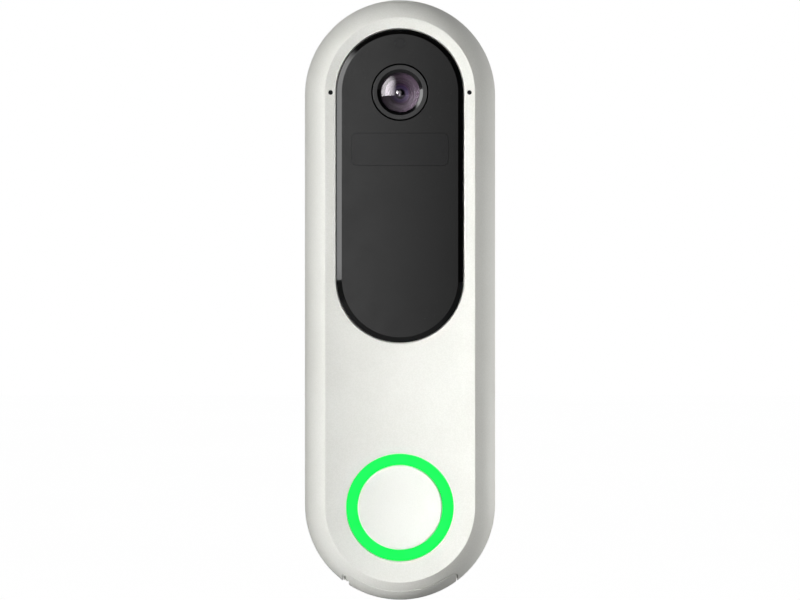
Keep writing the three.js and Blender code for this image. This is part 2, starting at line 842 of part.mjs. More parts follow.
function wallBracket() {
  const plate = slab(stadium(PLATE_R), 0, PLATE_T);
  const lip = band(PLATE_R, PLATE_R - 1.4, PLATE_T - 0.5, PLATE_T + 0.5);
  const hooks = [-HOOK_X, HOOK_X].flatMap((x) => [-HOOK_Y, HOOK_Y].map((y) => hook(x, y)));
  const lug = box(-LUG_W / 2, LUG_W / 2, LUG_Y, LUG_Y + LUG_H, PLATE_T - 0.5, 8);
  const [wireLow, wireHigh] = WIRE_Y;
  return cut(
    join(plate, lip, ...hooks, lug),
    slab(stadium(WIRE_R, wireHigh, wireLow), -1, 5),
    ...WALL_HOLES_Y.map(wallHole),
    column(disc(SECURITY_SCREW.shankR + 0.25, 0, SECURITY_Z), -70, -50, 5),
  );
}

// ---------------------------------------------------------------------------
// Assembly: one group for each body, in the drawing frame
// ---------------------------------------------------------------------------

function place(group, name, made, material, x = 0, y = 0, z = 0) {
  const mesh = new THREE.Mesh(geometryOf(made), material);
  mesh.name = name;
  mesh.position.set(x, y, z);
  group.add(mesh);
  return mesh;
}

function groupAt(x, y, z) {
  const group = new THREE.Group();
  group.position.set(x, y, z);
  return group;
}

const bracket = new THREE.Group();
place(bracket, "wall_bracket", wallBracket(), GREY);

const housing = new THREE.Group();
place(housing, "front_cover", frontCover(), WHITE);
place(housing, "rear_housing", rearHousing(), WHITE);
place(housing, "housing_seal", housingSeal(), RUBBER);
for (const { x, y, where } of HOUSING_SCREWS) {
  const form = crossHeadScrew(HOUSING_SCREW);
  place(housing, `housing_screw_${where}`, form, STEEL, x, y, HOUSING_SCREW_Z);
}

const lightWindow = rod(LIGHT_R, GLASS_Z - GLASS_T, GLASS_Z);
place(housing, "window_glass", windowGlass(), BLACK_GLASS);
place(housing, "window_tape", windowTape(), RUBBER);
place(housing, "motion_window", motionWindow(), BLACK_PLASTIC, 0, MOTION_Y);
place(housing, "light_sensor_window", lightWindow, BLACK_PLASTIC, 0, LIGHT_Y);

const camera = groupAt(0, END, 0);
housing.add(camera);
place(camera, "camera_trim", cameraTrim(), BLACK_PLASTIC);
place(camera, "front_lens", frontLens(), LENS_GLASS);
place(camera, "lens_barrel", lensBarrel(), BLACK_PLASTIC);
place(camera, "inner_lens", innerLens(), LENS_GLASS);
place(camera, "lens_holder", lensHolder(), BLACK_PLASTIC);
place(camera, "camera_board", cameraBoard(), CIRCUIT);
place(camera, "image_sensor", imageSensor(), CHIP);

place(housing, "main_board", mainBoard(), CIRCUIT, 0, 0, BOARD_Z);
for (const { x, y, where } of BOARD_SCREWS) {
  const form = crossHeadScrew(BOARD_SCREW);
  place(housing, `board_screw_${where}`, form, STEEL, x, y, BOARD_Z - GAP);
}

const onBoard = groupAt(0, 0, BOARD_TOP);
housing.add(onBoard);
place(onBoard, "processor_shield", processorShield(), STEEL, 0, 16);
place(onBoard, "wifi_antenna", wifiAntenna(), GOLD, 0, -6);
place(onBoard, "motion_sensor", motionSensor(), STEEL, 0, MOTION_Y);
place(onBoard, "light_sensor", box(-1, 1, -1, 1, 0, 0.9), CHIP, 0, LIGHT_Y);
place(onBoard, "button_flex", box(-3.4, 3.4, -4.7, 4.7, 0, 0.25), GOLD, 0, -35.7);
for (const { side, sign } of SIDES) {
  const channelX = sign * 0.7;
  const microphone = box(-1.3, 1.3, -1.7, 1.7, 0, 1);
  const seal = microphoneSeal(channelX);
  place(onBoard, `infrared_led_${side}`, infraredLed(), LENS_GLASS, sign * 11.4, END - 3);
  place(onBoard, `microphone_${side}`, microphone, STEEL, sign * (MIC_X - 2), END);
  place(onBoard, `microphone_seal_${side}`, seal, RUBBER, sign * MIC_X - channelX, END);
}

place(housing, "speaker_frame", speakerFrame(), CHIP);
place(housing, "speaker_cone", speakerCone(), CONE);
place(housing, "terminal_block", terminalBlock(), BLACK_PLASTIC, 0, TERMINAL_Y);
place(housing, "battery_sleeve", batterySleeve(), BLACK_PLASTIC);
for (const { side, sign } of SIDES) {
  place(housing, `spring_contact_${side}`, springContact(sign * CONTACT_X), GOLD);
}

const ring = groupAt(0, -END, 0);
housing.add(ring);
place(ring, "light_ring", lightRing(), GREEN_LIGHT);
place(ring, "button_board", buttonBoard(), CIRCUIT);
place(ring, "button_switch", buttonSwitch(), CHIP);
place(ring, "button_seal", buttonSeal(), RUBBER);

const button = groupAt(0, -END, 0);
place(button, "button_cap", buttonCap(), BUTTON_WHITE);
place(button, "button_carrier", buttonCarrier(), WHITE);
place(button, "switch_stem", switchStem(), BLACK_PLASTIC);

const tray = new THREE.Group();
place(tray, "tray_cap", trayCap(), WHITE);
place(tray, "cap_seal", capSeal(), RUBBER);
place(tray, "battery_case", batteryCase(), BLACK_PLASTIC);
place(tray, "battery_cell", batteryCell(), CELL_WRAP);
place(tray, "protection_board", protectionBoard(), CIRCUIT);
for (const { side, sign } of SIDES) {
  place(tray, `pack_contact_${side}`, packContact(sign * CONTACT_X), GOLD);
}

const securityScrew = groupAt(0, SECURITY_Y, SECURITY_Z);
place(securityScrew, "security_screw", crossHeadScrew(SECURITY_SCREW), STEEL);
securityScrew.rotation.x = -Math.PI / 2;

const terminalScrews = SIDES.map(({ side, sign }) => {
  const group = groupAt(sign * TERMINAL_X, TERMINAL_Y, TERMINAL_Z);
  place(group, `terminal_screw_${side}`, crossHeadScrew(TERMINAL_SCREW), STEEL);
  return group;
});

// The whole doorbell, turned upright
const doorbell = new THREE.Group();
doorbell.add(bracket, housing, button, tray, securityScrew, ...terminalScrews);
doorbell.rotation.x = Math.PI / 2;

export default doorbell;
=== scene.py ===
# %% [markdown]
# # A battery video doorbell
#
# The doorbell is a white, pill-shaped case that hangs on a bracket screwed to the wall. A raised
# black window on its upper half covers the camera and the motion sensor, and a ring of light goes
# round the push button on its lower half. The battery slides out of the lower end.
#
# Everything is in metres, with +Z up and the front towards -Y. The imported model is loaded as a
# fixed frame. What shows is then modelled over it in fine detail, to the same sizes.

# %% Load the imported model
import math
import bmesh
import bpy
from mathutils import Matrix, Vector


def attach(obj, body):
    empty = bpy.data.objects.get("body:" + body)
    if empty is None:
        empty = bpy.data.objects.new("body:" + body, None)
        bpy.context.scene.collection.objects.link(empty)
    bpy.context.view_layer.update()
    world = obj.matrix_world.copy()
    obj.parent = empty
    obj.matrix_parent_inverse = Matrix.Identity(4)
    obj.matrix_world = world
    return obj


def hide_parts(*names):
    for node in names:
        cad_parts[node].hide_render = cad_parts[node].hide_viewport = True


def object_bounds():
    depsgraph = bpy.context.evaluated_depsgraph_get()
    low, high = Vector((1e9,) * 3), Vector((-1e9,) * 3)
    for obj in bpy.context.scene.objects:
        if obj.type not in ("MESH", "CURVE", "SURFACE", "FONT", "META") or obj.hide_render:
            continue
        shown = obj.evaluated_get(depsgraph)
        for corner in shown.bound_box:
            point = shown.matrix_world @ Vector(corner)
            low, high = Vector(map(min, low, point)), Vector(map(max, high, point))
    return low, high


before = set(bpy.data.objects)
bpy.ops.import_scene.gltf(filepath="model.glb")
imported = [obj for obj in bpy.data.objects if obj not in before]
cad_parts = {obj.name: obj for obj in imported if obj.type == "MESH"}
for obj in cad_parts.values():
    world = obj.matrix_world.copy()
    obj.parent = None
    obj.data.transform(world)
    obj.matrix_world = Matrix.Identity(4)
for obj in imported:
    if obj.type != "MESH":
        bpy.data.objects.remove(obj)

CAD_LOW, CAD_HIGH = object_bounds()
print("packed model:", len(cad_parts), "nodes, lowest", CAD_LOW, "highest", CAD_HIGH)

# %% [markdown]
# ## The sizes that most pieces share
#
# A maker's drawing gives heights above the wall and distances from the middle, in millimetres.
# `MM` turns those into metres. A height h above the wall is y = -h here.

# %% Shared sizes
MM = 0.001
END = 52 * MM  # half the distance between the centres of the two round ends
BODY_R = 24.2 * MM
FACE_R = 18.8 * MM
FACE_H = 27.2 * MM  # the flat face, above the wall
BACK_H = 3.4 * MM  # the housing's back
PART_H = 15 * MM  # the parting line between the two housings
SEAM = 0.25 * MM
WALL = 2 * MM
GLASS_R = 15.85 * MM
GLASS_LOW = 5.2 * MM  # centre of the window's lower round end
GLASS_H = 28 * MM
RIM_LEAN = math.radians(38)
RIM_R = (BODY_R - FACE_R) / (1 - math.sin(RIM_LEAN))
RIM_H = FACE_H - RIM_R * math.cos(RIM_LEAN)
EPS = 1e-6


def mm(*pairs):
    """Pairs of millimetres as pairs of metres: a section's points, or a box's spans."""
    return [(a * MM, b * MM) for a, b in pairs]


print("the rim is an arc of radius", round(RIM_R / MM, 2), "mm")

# %% [markdown]
# ## Working in edit mode from code
#
# An operator acts on whatever is selected. These helpers keep that under control: they clear the
# selection, start a piece from a primitive, go in and out of edit mode, and pick faces, edges or
# points by where they are.

# %% Helpers for selecting and editing
def alone(piece):
    """Makes one piece the only selected one, and the active one."""
    bpy.ops.object.select_all(action="DESELECT")
    bpy.context.view_layer.objects.active = piece
    piece.select_set(True)
    return piece


def name_new(name):
    """Names the piece that an operator has just added."""
    piece = bpy.context.active_object
    piece.name = name
    piece.data.name = name
    return piece


def add(name, operator, **settings):
    """Adds a primitive while nothing else is selected, and names it."""
    bpy.ops.object.select_all(action="DESELECT")
    operator(**settings)
    return name_new(name)


def edit(piece):
    """Goes into edit mode on one piece with nothing selected."""
    alone(piece)
    bpy.ops.object.mode_set(mode="EDIT")
    bpy.ops.mesh.select_all(action="DESELECT")


def done():
    bpy.ops.object.mode_set(mode="OBJECT")


def pick(piece, kind, test):
    """Selects the faces, edges or points of a piece in edit mode for which the test holds."""
    bpy.ops.mesh.select_all(action="DESELECT")
    bpy.ops.mesh.select_mode(type=kind[:-1].upper())
    mesh = bmesh.from_edit_mesh(piece.data)
    count = 0
    for item in getattr(mesh, kind):
        if test(item):
            item.select_set(True)
            count += 1
    mesh.select_flush_mode()
    bmesh.update_edit_mesh(piece.data)
    return count


FLAT = math.radians(0.2)  # faces that meet at less than this are joined


def tidy_mesh(piece, distance=EPS):
    """Merges doubles, joins the faces that lie in one plane, and turns every normal outwards."""
    edit(piece)
    bpy.ops.mesh.select_all(action="SELECT")
    bpy.ops.mesh.remove_doubles(threshold=distance)
    bpy.ops.mesh.dissolve_limited(angle_limit=FLAT)
    bpy.ops.mesh.select_all(action="SELECT")
    bpy.ops.mesh.normals_make_consistent(inside=False)
    done()


def apply_all(piece):
    """Puts a piece's place, turn and scale into its mesh."""
    alone(piece)
    bpy.ops.object.transform_apply(location=True, rotation=True, scale=True)


def smooth(piece, angle):
    """Smooth shading between faces that meet at less than the angle, weighted by face area, so
    that flat faces stay flat beside small rounded edges."""
    alone(piece)
    bpy.ops.object.shade_smooth_by_angle(angle=math.radians(angle))
    bpy.ops.object.modifier_add(type="WEIGHTED_NORMAL")
    piece.modifiers[-1].keep_sharp = True
    bpy.ops.object.modifier_apply(modifier=piece.modifiers[-1].name)


def boolean(piece, cutter, operation="DIFFERENCE"):
    """Cuts a piece with another, or keeps what they share, and takes the cutter away."""
    alone(piece)
    bpy.ops.object.modifier_add(type="BOOLEAN")
    modifier = piece.modifiers[-1]
    modifier.operation = operation
    modifier.solver = "EXACT"
    modifier.object = cutter
    bpy.ops.object.modifier_apply(modifier=modifier.name)
    bpy.data.objects.remove(cutter)


def report(piece):
    size = [round(d / MM, 2) for d in piece.dimensions]
    print(piece.name, "faces", len(piece.data.polygons), "size", size, "mm")

# %% [markdown]
# ## Drawing a section, then turning it or sweeping it round a pill
#
# Nearly every piece of this doorbell has one section all the way round: the housings, the window,
# the lens and the ring. A section is drawn as a line of points, by extruding one point again and
# again. Spin then turns it about an axis. For a pill shape it is spun half a turn, extruded along
# the straight side, spun half a turn again and extruded back, which is how a router would follow
# the outline. It beats scaling a circle, which would squash the rounded edge.

# %% Helpers that draw and sweep a section
def draw_section(name, points, x0=0.0, z0=0.0):
    """A chain of points [(radius, height above the wall)], drawn in the plane z = z0."""
    first = Vector((x0 + points[0][0], -points[0][1], z0))
    piece = add(name, bpy.ops.mesh.primitive_plane_add, size=MM, location=(0, 0, 0))
    bpy.ops.object.mode_set(mode="EDIT")
    bpy.ops.mesh.select_mode(type="VERT")
    bpy.ops.mesh.select_all(action="SELECT")
    bpy.ops.mesh.merge(type="CENTER")
    bpy.ops.transform.translate(value=first)
    last = points[0]
    for point in points[1:]:
        step = (point[0] - last[0], -(point[1] - last[1]), 0)
        bpy.ops.mesh.extrude_vertices_move(TRANSFORM_OT_translate={"value": step})
        last = point
    bpy.ops.mesh.select_all(action="SELECT")
    return piece


def turn(name, points, x=0.0, z=0.0, steps=64):
    """A piece turned about an axis out from the wall, through (x, z)."""
    piece = draw_section(name, points, x, z)
    bpy.ops.mesh.spin(steps=steps, angle=2 * math.pi, center=(x, 0, z), axis=(0, -1, 0))
    done()
    tidy_mesh(piece)
    return piece


def sweep_pill(name, points, high=END, low=-END, steps=48):
    """A section swept round a pill whose round ends are centred at z = high and z = low."""
    piece = draw_section(name, points, 0, high)
    for here, there in ((high, low), (low, high)):
        bpy.ops.mesh.spin(steps=steps, angle=math.pi, center=(0, 0, here), axis=(0, 1, 0))
        along = {"value": (0, 0, there - here)}
        bpy.ops.mesh.extrude_edges_move(TRANSFORM_OT_translate=along)
    done()
    tidy_mesh(piece)
    return piece


def arc(centre, radius, start, stop, steps):
    """Points of an arc in a section. Angles are in degrees: 0 points outwards, 90 to the front."""
    points = []
    for i in range(steps + 1):
        angle = math.radians(start + (stop - start) * i / steps)
        points.append(
            (centre[0] + radius * math.cos(angle), centre[1] + radius * math.sin(angle))
        )
    return points


def corner(before, at, after, radius, steps=4):
    """Points that round off the corner of a section with a radius."""
    at, before, after = Vector(at), Vector(before), Vector(after)
    a = (before - at).normalized()
    b = (after - at).normalized()
    half = a.angle(b) / 2
    centre = at + (a + b).normalized() * (radius / math.sin(half))
    start = at + a * (radius / math.tan(half)) - centre
    stop = at + b * (radius / math.tan(half)) - centre
    turned = start.angle(stop)
    points = []
    for i in range(steps + 1):
        t = i / steps
        blend = start * math.sin((1 - t) * turned) + stop * math.sin(t * turned)
        points.append(tuple(centre + blend / math.sin(turned)))
    return points


def rounded(points, radii, steps=4, closed=True):
    """A section with its corners rounded. radii holds each corner's radius in mm, or 0."""
    made = []
    count = len(points)
    for i, (point, radius) in enumerate(zip(points, radii)):
        if radius:
            made += corner(points[i - 1], point, points[(i + 1) % count], radius * MM, steps)
        else:
            made.append(point)
    if closed:
        made.append(made[0])
    return made

# %% [markdown]
# ## Writing materials as expressions
#
# A procedural material is a sum of patterns: speckle plus a faint mottle, a scratch here, dust
# there. Written as Python expressions they stay readable. `Wire` holds one socket, and adding or
# multiplying wires adds the Math nodes.

# %% The class that writes shader maths
class Wire:
    """One output socket of a material, with arithmetic that adds Math nodes."""

    def __init__(self, tree, socket):
        self.tree, self.socket = tree, socket

    def node(self, kind, settings=None, output=0, **inputs):
        """Adds a node, sets its settings first, and then its inputs. A kind such as "Math" is
        short for ShaderNodeMath, and an input such as i0 is the first one."""
        made = self.tree.nodes.new("ShaderNode" + kind)
        for key, value in (settings or {}).items():
            if key == "stops":
                ramp = made.color_ramp
                while len(ramp.elements) < len(value):
                    ramp.elements.new(1.0)
                for element, (place, color) in zip(ramp.elements, value):
                    element.position, element.color = place, color
            else:
                setattr(made, key, value)
        for key, value in inputs.items():
            name = key.replace("_", " ")
            socket = made.inputs[int(key[1:])] if key[1:].isdigit() else made.inputs[name]
            if isinstance(value, Wire):
                self.tree.links.new(value.socket, socket)
            else:
                socket.default_value = value
        return Wire(self.tree, made.outputs[output])

    def math(self, operation, second):
        return self.node("Math", {"operation": operation}, i0=self, i1=second)

    def __add__(self, other):
        return self.math("ADD", other)

    __radd__ = __add__

    def __mul__(self, other):
        return self.math("MULTIPLY", other)

    __rmul__ = __mul__

    def __sub__(self, other):
        return self.math("SUBTRACT", other)

    def __rsub__(self, other):
        return self * -1.0 + other

    def ramp(self, low, high, to_low=0.0, to_high=1.0):
        """Maps low..high of this value smoothly to to_low..to_high, and holds the ends."""
        return self.node(
            "MapRange",
            {"interpolation_type": "SMOOTHSTEP", "clamp": True},
            i0=self, i1=low, i2=high, i3=to_low, i4=to_high,
        )

    def noise(self, scale, detail=2.0, roughness=0.5):
        """Noise on this wire's coordinates."""
        return self.node(
            "TexNoise", Vector=self, Scale=scale, Detail=detail, Roughness=roughness
        )

    def mix(self, first, second):
        """Mixes two colours by this value."""
        return self.node("Mix", {"data_type": "RGBA"}, 2, i0=self, i6=first, i7=second)


def material(name, **constants):
    """A new material. Gives the material, its coordinates and a way to set the shader."""
    made = bpy.data.materials.new(name)
    made.use_nodes = True
    tree = made.node_tree
    shader = tree.nodes["Principled BSDF"]
    for key, value in constants.items():
        shader.inputs[key.replace("_", " ")].default_value = value
    coordinates = tree.nodes.new("ShaderNodeTexCoord")

    def drive(bump=None, bump_distance=0.0, **wires):
        for key, wire in wires.items():
            tree.links.new(wire.socket, shader.inputs[key.replace("_", " ")])
        if bump is not None:
            raised = bump.node("Bump", Height=bump, Distance=bump_distance)
            tree.links.new(raised.socket, shader.inputs["Normal"])

    return made, Wire(tree, coordinates.outputs["Object"]), drive


def bare_material(name):
    """A new material with no shader. Gives it, its coordinates and a way to set its surface."""
    made = bpy.data.materials.new(name)
    made.use_nodes = True
    tree = made.node_tree
    tree.nodes.remove(tree.nodes["Principled BSDF"])
    coordinates = tree.nodes.new("ShaderNodeTexCoord")

    def show(surface):
        tree.links.new(surface.socket, tree.nodes["Material Output"].inputs["Surface"])

    return made, Wire(tree, coordinates.outputs["Object"]), show


def rgb(red, green, blue):
    """A colour given as on a screen, 0 to 255, as the linear colour that shaders use."""
    def linear(c):
        c = c / 255
        return c / 12.92 if c <= 0.04045 else ((c + 0.055) / 1.055) ** 2.4
    return (linear(red), linear(green), linear(blue), 1.0)

# %% [markdown]
# ## The finishes
#
# The shell is a warm white moulded plastic with a fine spark texture, the kind that hides
# fingerprints: a speckle a few tenths of a millimetre across. It is made of two noises, one for
# the grain and one for a slow mottle, which move the colour, the roughness and the bump a little.

# %% White shell and button
def moulded(name, light, dark, grain, rough, depth):
    """A moulded plastic: grain of a size and depth in millimetres, between two colours."""
    grain = grain * MM
    made, place, drive = material(name)
    fine = place.noise(1 / grain, 1.0, 0.6)
    slow = place.noise(1 / (40 * grain), 2.0, 0.5)
    speckle = fine.ramp(0.32, 0.68)
    tone = speckle * 0.6 + slow.ramp(0.35, 0.65) * 0.4
    drive(
        bump=speckle + slow * 0.3,
        bump_distance=depth * MM,
        Base_Color=tone.mix(rgb(*dark), rgb(*light)),
        Roughness=(speckle * 0.5 + slow * 0.5).ramp(0.2, 0.8, rough - 0.05, rough + 0.07),
    )
    return made


WHITE = moulded("warm white shell", (240, 240, 234), (232, 232, 225), 0.35, 0.44, 0.006)
BUTTON_WHITE = moulded("button white", (247, 248, 242), (242, 243, 236), 0.3, 0.36, 0.004)
GREY = moulded("bracket grey", (150, 152, 151), (136, 138, 137), 0.5, 0.6, 0.012)
BLACK_PLASTIC = moulded("black plastic", (30, 30, 31), (20, 20, 21), 0.3, 0.5, 0.006)
CHIP = moulded("chip black", (34, 35, 37), (24, 25, 27), 0.12, 0.55, 0.003)
RUBBER = moulded("rubber", (46, 47, 49), (34, 35, 37), 0.4, 0.85, 0.01)
# Painted shade: this black fills the microphone holes, in place of the shade inside them.
HOLE_SHADE_BLACK = moulded("painted hole shade", (12, 12, 13), (5, 5, 6), 0.08, 0.9, 0.02)
CONE = moulded("speaker cone", (44, 46, 49), (30, 32, 34), 0.8, 0.75, 0.03)
CELL_WRAP = moulded("cell wrap", (48, 98, 160), (38, 82, 140), 1.2, 0.4, 0.01)

# %% [markdown]
# The window is smoked black glass, polished, so that it mirrors the room faintly. A few specks of
# dust and a slow waviness keep it from looking like paint. Its two sensor windows are the same
# black, printed a shade darker.

# %% Black window
DUST = rgb(120, 120, 118)


def smoked(name, base, rough, dust, ior=1.5):
    """Polished black with a slow waviness, and dust specks of the given strength."""
    made, place, drive = material(name, IOR=ior)
    haze = place.noise(140, 3.0, 0.6)
    specks = place.noise(4200, 1.0, 0.5).ramp(0.73, 0.80)
    drive(
        bump=haze,
        bump_distance=0.0012 * MM,
        Base_Color=(specks * dust).mix(base, DUST),
        Roughness=haze.ramp(0.3, 0.7, rough, rough + 0.04) + specks * 0.2,
    )
    return made


BLACK_GLASS = smoked("smoked glass", rgb(9, 9, 9), 0.06, 0.12)
SENSOR_BLACK = smoked("sensor window", rgb(8, 8, 9), 0.07, 0.08)

# %% Lens coatings
def coated(name, base, tint, rough, strength):
    """Dark glass with a mottled tint, and a coating that is glossier towards its edge."""
    made, place, drive = material(name, Coat_Roughness=0.02, IOR=1.6)
    mottle = place.noise(900, 2.0, 0.5)
    edge = place.node("LayerWeight", output=1, Blend=0.5)
    drive(
        Base_Color=mottle.mix(base, tint),
        Coat_Weight=edge * strength,
        Roughness=mottle.ramp(0.3, 0.7, rough, rough + 0.02),
    )
    return made

# %% [markdown]
# The ring is a milky light guide over green lights. It glows evenly, so it gets emission, and a
# slight unevenness every few millimetres as light guides have.

# %% Lit ring
def lit_ring():
    made, place, drive = material(
        "green light", Base_Color=rgb(3, 60, 22), Specular_IOR_Level=0.12, Emission_Strength=1.0
    )
    slow = place.noise(260, 1.0, 0.5)
    drive(
        Emission_Color=slow.ramp(0.3, 0.7).mix((0.0100, 0.98, 0.105, 1), (0.0115, 1.0, 0.114, 1)),
        Roughness=slow.ramp(0.3, 0.7, 0.45, 0.55),
    )
    return made


GREEN_LIGHT = lit_ring()

# %% [markdown]
# The metal pieces are plated steel and gold. Fine scratches are noise stretched along one axis,
# which a Mapping node does. The circuit boards are green lacquer over copper, with tracks.

# %% Metals and boards
def metal(name, light, dark, rough):
    made, place, drive = material(name, Metallic=1.0)
    stretched = place.node("Mapping", i0=place, i3=(1, 1, 12))
    lines = stretched.noise(900, 3.0, 0.6)
    slow = place.noise(300, 2.0, 0.5)
    drive(
        bump=lines,
        bump_distance=0.004 * MM,
        Base_Color=(lines * 0.5 + slow * 0.5).ramp(0.3, 0.7).mix(dark, light),
        Roughness=lines.ramp(0.3, 0.7, rough - 0.06, rough + 0.08),
    )
    return made


def board(name, lacquer, track):
    made, place, drive = material(name)
    cells = place.node(
        "TexVoronoi", {"feature": "DISTANCE_TO_EDGE", "distance": "CHEBYCHEV"},
        Vector=place, Scale=420.0,
    )
    lines = cells.ramp(0.04, 0.08)
    weave = place.noise(2500, 1.0, 0.5)
    drive(
        bump=lines + weave * 0.2,
        bump_distance=0.02 * MM,
        Base_Color=lines.mix(track, lacquer),
        Roughness=weave.ramp(0.3, 0.7, 0.4, 0.55),
    )
    return made


STEEL = metal("plated steel", rgb(205, 207, 210), rgb(168, 171, 176), 0.3)
GOLD = metal("gold plate", rgb(226, 192, 106), rgb(198, 160, 76), 0.28)
CIRCUIT = board("green board", rgb(26, 74, 50), rgb(52, 108, 74))
LENS_GLASS = coated("inner glass", rgb(16, 14, 18), rgb(70, 58, 92), 0.04, 0.5)
print(len(bpy.data.materials), "materials so far")

# %% [markdown]
# ## The front cover
#
# The cover is one moulding with a wall of 2 mm: straight sides, a rim that curves in, a crisp
# crease, and the flat face. The section is drawn once and swept round the pill. The crease is a
# tiny radius, which is what catches the light along it.

# %% The outer form's section
def rim_points(top, bottom, inset=0.0, steps=18):
    """The rim's arc between two heights, from the lower up, moved in by an inset."""
    radius = RIM_R - inset
    centre = (BODY_R - RIM_R, RIM_H)
    low = math.degrees(math.asin(max(0, (bottom - RIM_H) / radius)))
    high = math.degrees(math.asin(min(1, (top - RIM_H) / radius)))
    return arc(centre, radius, low, high, steps)


CREASE_R = 0.35 * MM


def outer_section(bottom):
    """From the bottom of the side up to the middle of the face, with the crease rounded."""
    rim = rim_points(FACE_H - CREASE_R, max(bottom, RIM_H), steps=22)
    crease = corner(rim[-1], (FACE_R, FACE_H), (0, FACE_H), CREASE_R, 5)
    start = [(BODY_R, bottom)] if bottom < RIM_H else []
    return start + rim + crease


def cover_section():
    low = PART_H + SEAM / 2
    inner_top = FACE_H - 2.4 * MM
    inner = rim_points(inner_top, RIM_H, WALL, 8)
    lip = [(BODY_R - WALL, low), (BODY_R - 0.2 * MM, low)]
    shell = [(0, inner_top)] + inner[::-1] + lip + outer_section(low + 0.2 * MM)
    return shell + [(0, FACE_H)]


cover = sweep_pill("front_shell", cover_section())
report(cover)

# %% [markdown]
# The holes are cut with a Boolean. Each cutter flares where it meets the face, so that the hole
# gets its small rounded edge from the cut itself, and no bevel has to find its way along it.

# %% Cutters for the face
def flared(radius, bottom, top, flare, steps=4):
    """The section of a cutter that widens by flare where it comes out of a face at top."""
    lip = arc((radius + flare, top - flare), flare, 180, 90, steps)
    return [(0, bottom), (radius, bottom)] + lip + [(radius + flare, top + MM), (0, top + MM)]


SEAT_H = 25.6 * MM  # the window's glue rests on this ledge
BEHIND = 20 * MM  # well behind the face, where the cutters start
MIC_X = dict(left=-17.4 * MM, right=17.4 * MM)
pocket = flared(GLASS_R + SEAM, SEAT_H, FACE_H, 0.15 * MM)
boolean(cover, sweep_pill("pocket", pocket, END, GLASS_LOW))
well = mm((0, 20), (13.85, 20), (13.85, 28), (0, 28))
boolean(cover, sweep_pill("well", well, END, GLASS_LOW))
ring_hole = flared(13.5 * MM, BEHIND, FACE_H, 0.12 * MM)
boolean(cover, turn("ring_hole", ring_hole, 0, -END, 96))
for x in MIC_X.values():
    mic_hole = flared(0.58 * MM, BEHIND, FACE_H, 0.06 * MM)
    boolean(cover, turn("mic_hole", mic_hole, x, END, 24))
report(cover)

# %% [markdown]
# ## The battery tray's cap
#
# The cap closes the lower end and is part of the same outer form, so it is cut from it: the form
# is made once more and what it shares with an upright block is kept. The housings lose the same
# block, a quarter of a millimetre larger, and the seam is what is left between the two. The block
# is a plane that is given rounded corners with a bevel and is then extruded.

# %% The block that parts the cap from the housings
CAP = dict(x=14.3 * MM, front=24.6 * MM, back=8.4 * MM, corner=2.5 * MM, back_corner=1.5 * MM)


def cap_block(name, grow):
    """The cap's outline seen from below, grown all round and extruded up the lower end."""
    front, back = CAP["front"] + grow, CAP["back"] - grow
    middle = -(front + back) / 2
    piece = add(name, bpy.ops.mesh.primitive_plane_add, size=1, location=(0, middle, -80 * MM))
    edit(piece)
    bpy.ops.mesh.select_all(action="SELECT")
    bpy.ops.transform.resize(value=(2 * (CAP["x"] + grow), front - back, 1))
    done()
    apply_all(piece)
    edit(piece)
    pick(piece, "verts", lambda v: v.co.y < middle)
    bpy.ops.mesh.bevel(offset=CAP["corner"] + grow, segments=8, affect="VERTICES")
    pick(piece, "verts", lambda v: v.co.y > middle)
    bpy.ops.mesh.bevel(offset=CAP["back_corner"], segments=5, affect="VERTICES")
    bpy.ops.mesh.select_mode(type="FACE")
    bpy.ops.mesh.select_all(action="SELECT")
    up = {"value": (0, 0, 20 * MM)}
    bpy.ops.mesh.extrude_region_move(TRANSFORM_OT_translate=up)
    bpy.ops.mesh.select_all(action="SELECT")
    bpy.ops.mesh.normals_make_consistent(inside=False)
    done()
    return piece


def soften_seam(piece, grow, width, segments=3):
    """Rounds the edges where the outer form meets the block that was cut from it."""
    front, back = CAP["front"] + grow, CAP["back"] - grow
    side = CAP["x"] + grow
    tight = 0.02 * MM

    def on_block(v):
        x, h = abs(v.co.x), -v.co.y
        if v.co.z > -60 * MM or not back - tight < h < front + tight or x > side + tight:
            return False
        for r, reach in ((CAP["corner"] + grow, h - front), (CAP["back_corner"], back - h)):
            if x > side - r and reach > -r:
                return abs(math.hypot(x - side + r, reach + r) - r) < tight * 2
        return abs(x - side) < tight or abs(h - front) < tight or abs(h - back) < tight

    def on_form(v):
        radius = math.hypot(v.co.x, v.co.z + END)
        h = -v.co.y
        outer = BODY_R
        if h > RIM_H:
            outer = BODY_R - RIM_R + math.sqrt(max(0, RIM_R**2 - (h - RIM_H) ** 2))
        return radius > outer - 0.06 * MM

    edit(piece)
    found = pick(piece, "edges", lambda e: all(on_block(v) and on_form(v) for v in e.verts))
    bpy.ops.mesh.bevel(offset=width, segments=segments, affect="EDGES", clamp_overlap=True)
    done()
    return found


boolean(cover, cap_block("block", SEAM))
tidy_mesh(cover, 0.02 * MM)
print("seam edges on the cover:", soften_seam(cover, SEAM, 0.22 * MM))
report(cover)

# %% Finish the cover
def dress(piece, finish, body, slot, *nodes, angle=32):
    """Smooths a finished piece, and gives it its finish, body and the nodes it replaces. The slot
    is not used.
    """
    if angle:
        smooth(piece, angle)
    piece.data.materials.clear()
    piece.data.materials.append(finish)
    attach(piece, body)
    if nodes:
        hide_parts(*nodes)
    report(piece)


dress(cover, WHITE, "housing", "white_shell", "front_cover")

# %% [markdown]
# ## The rear housing
#
# A tub with the same wall: its floor lies on the bracket, and its side carries on the cover's,
# with a fine V at the parting line. Through its floor go four slots for the bracket's hooks, and
# its left side has the speaker's five slots.

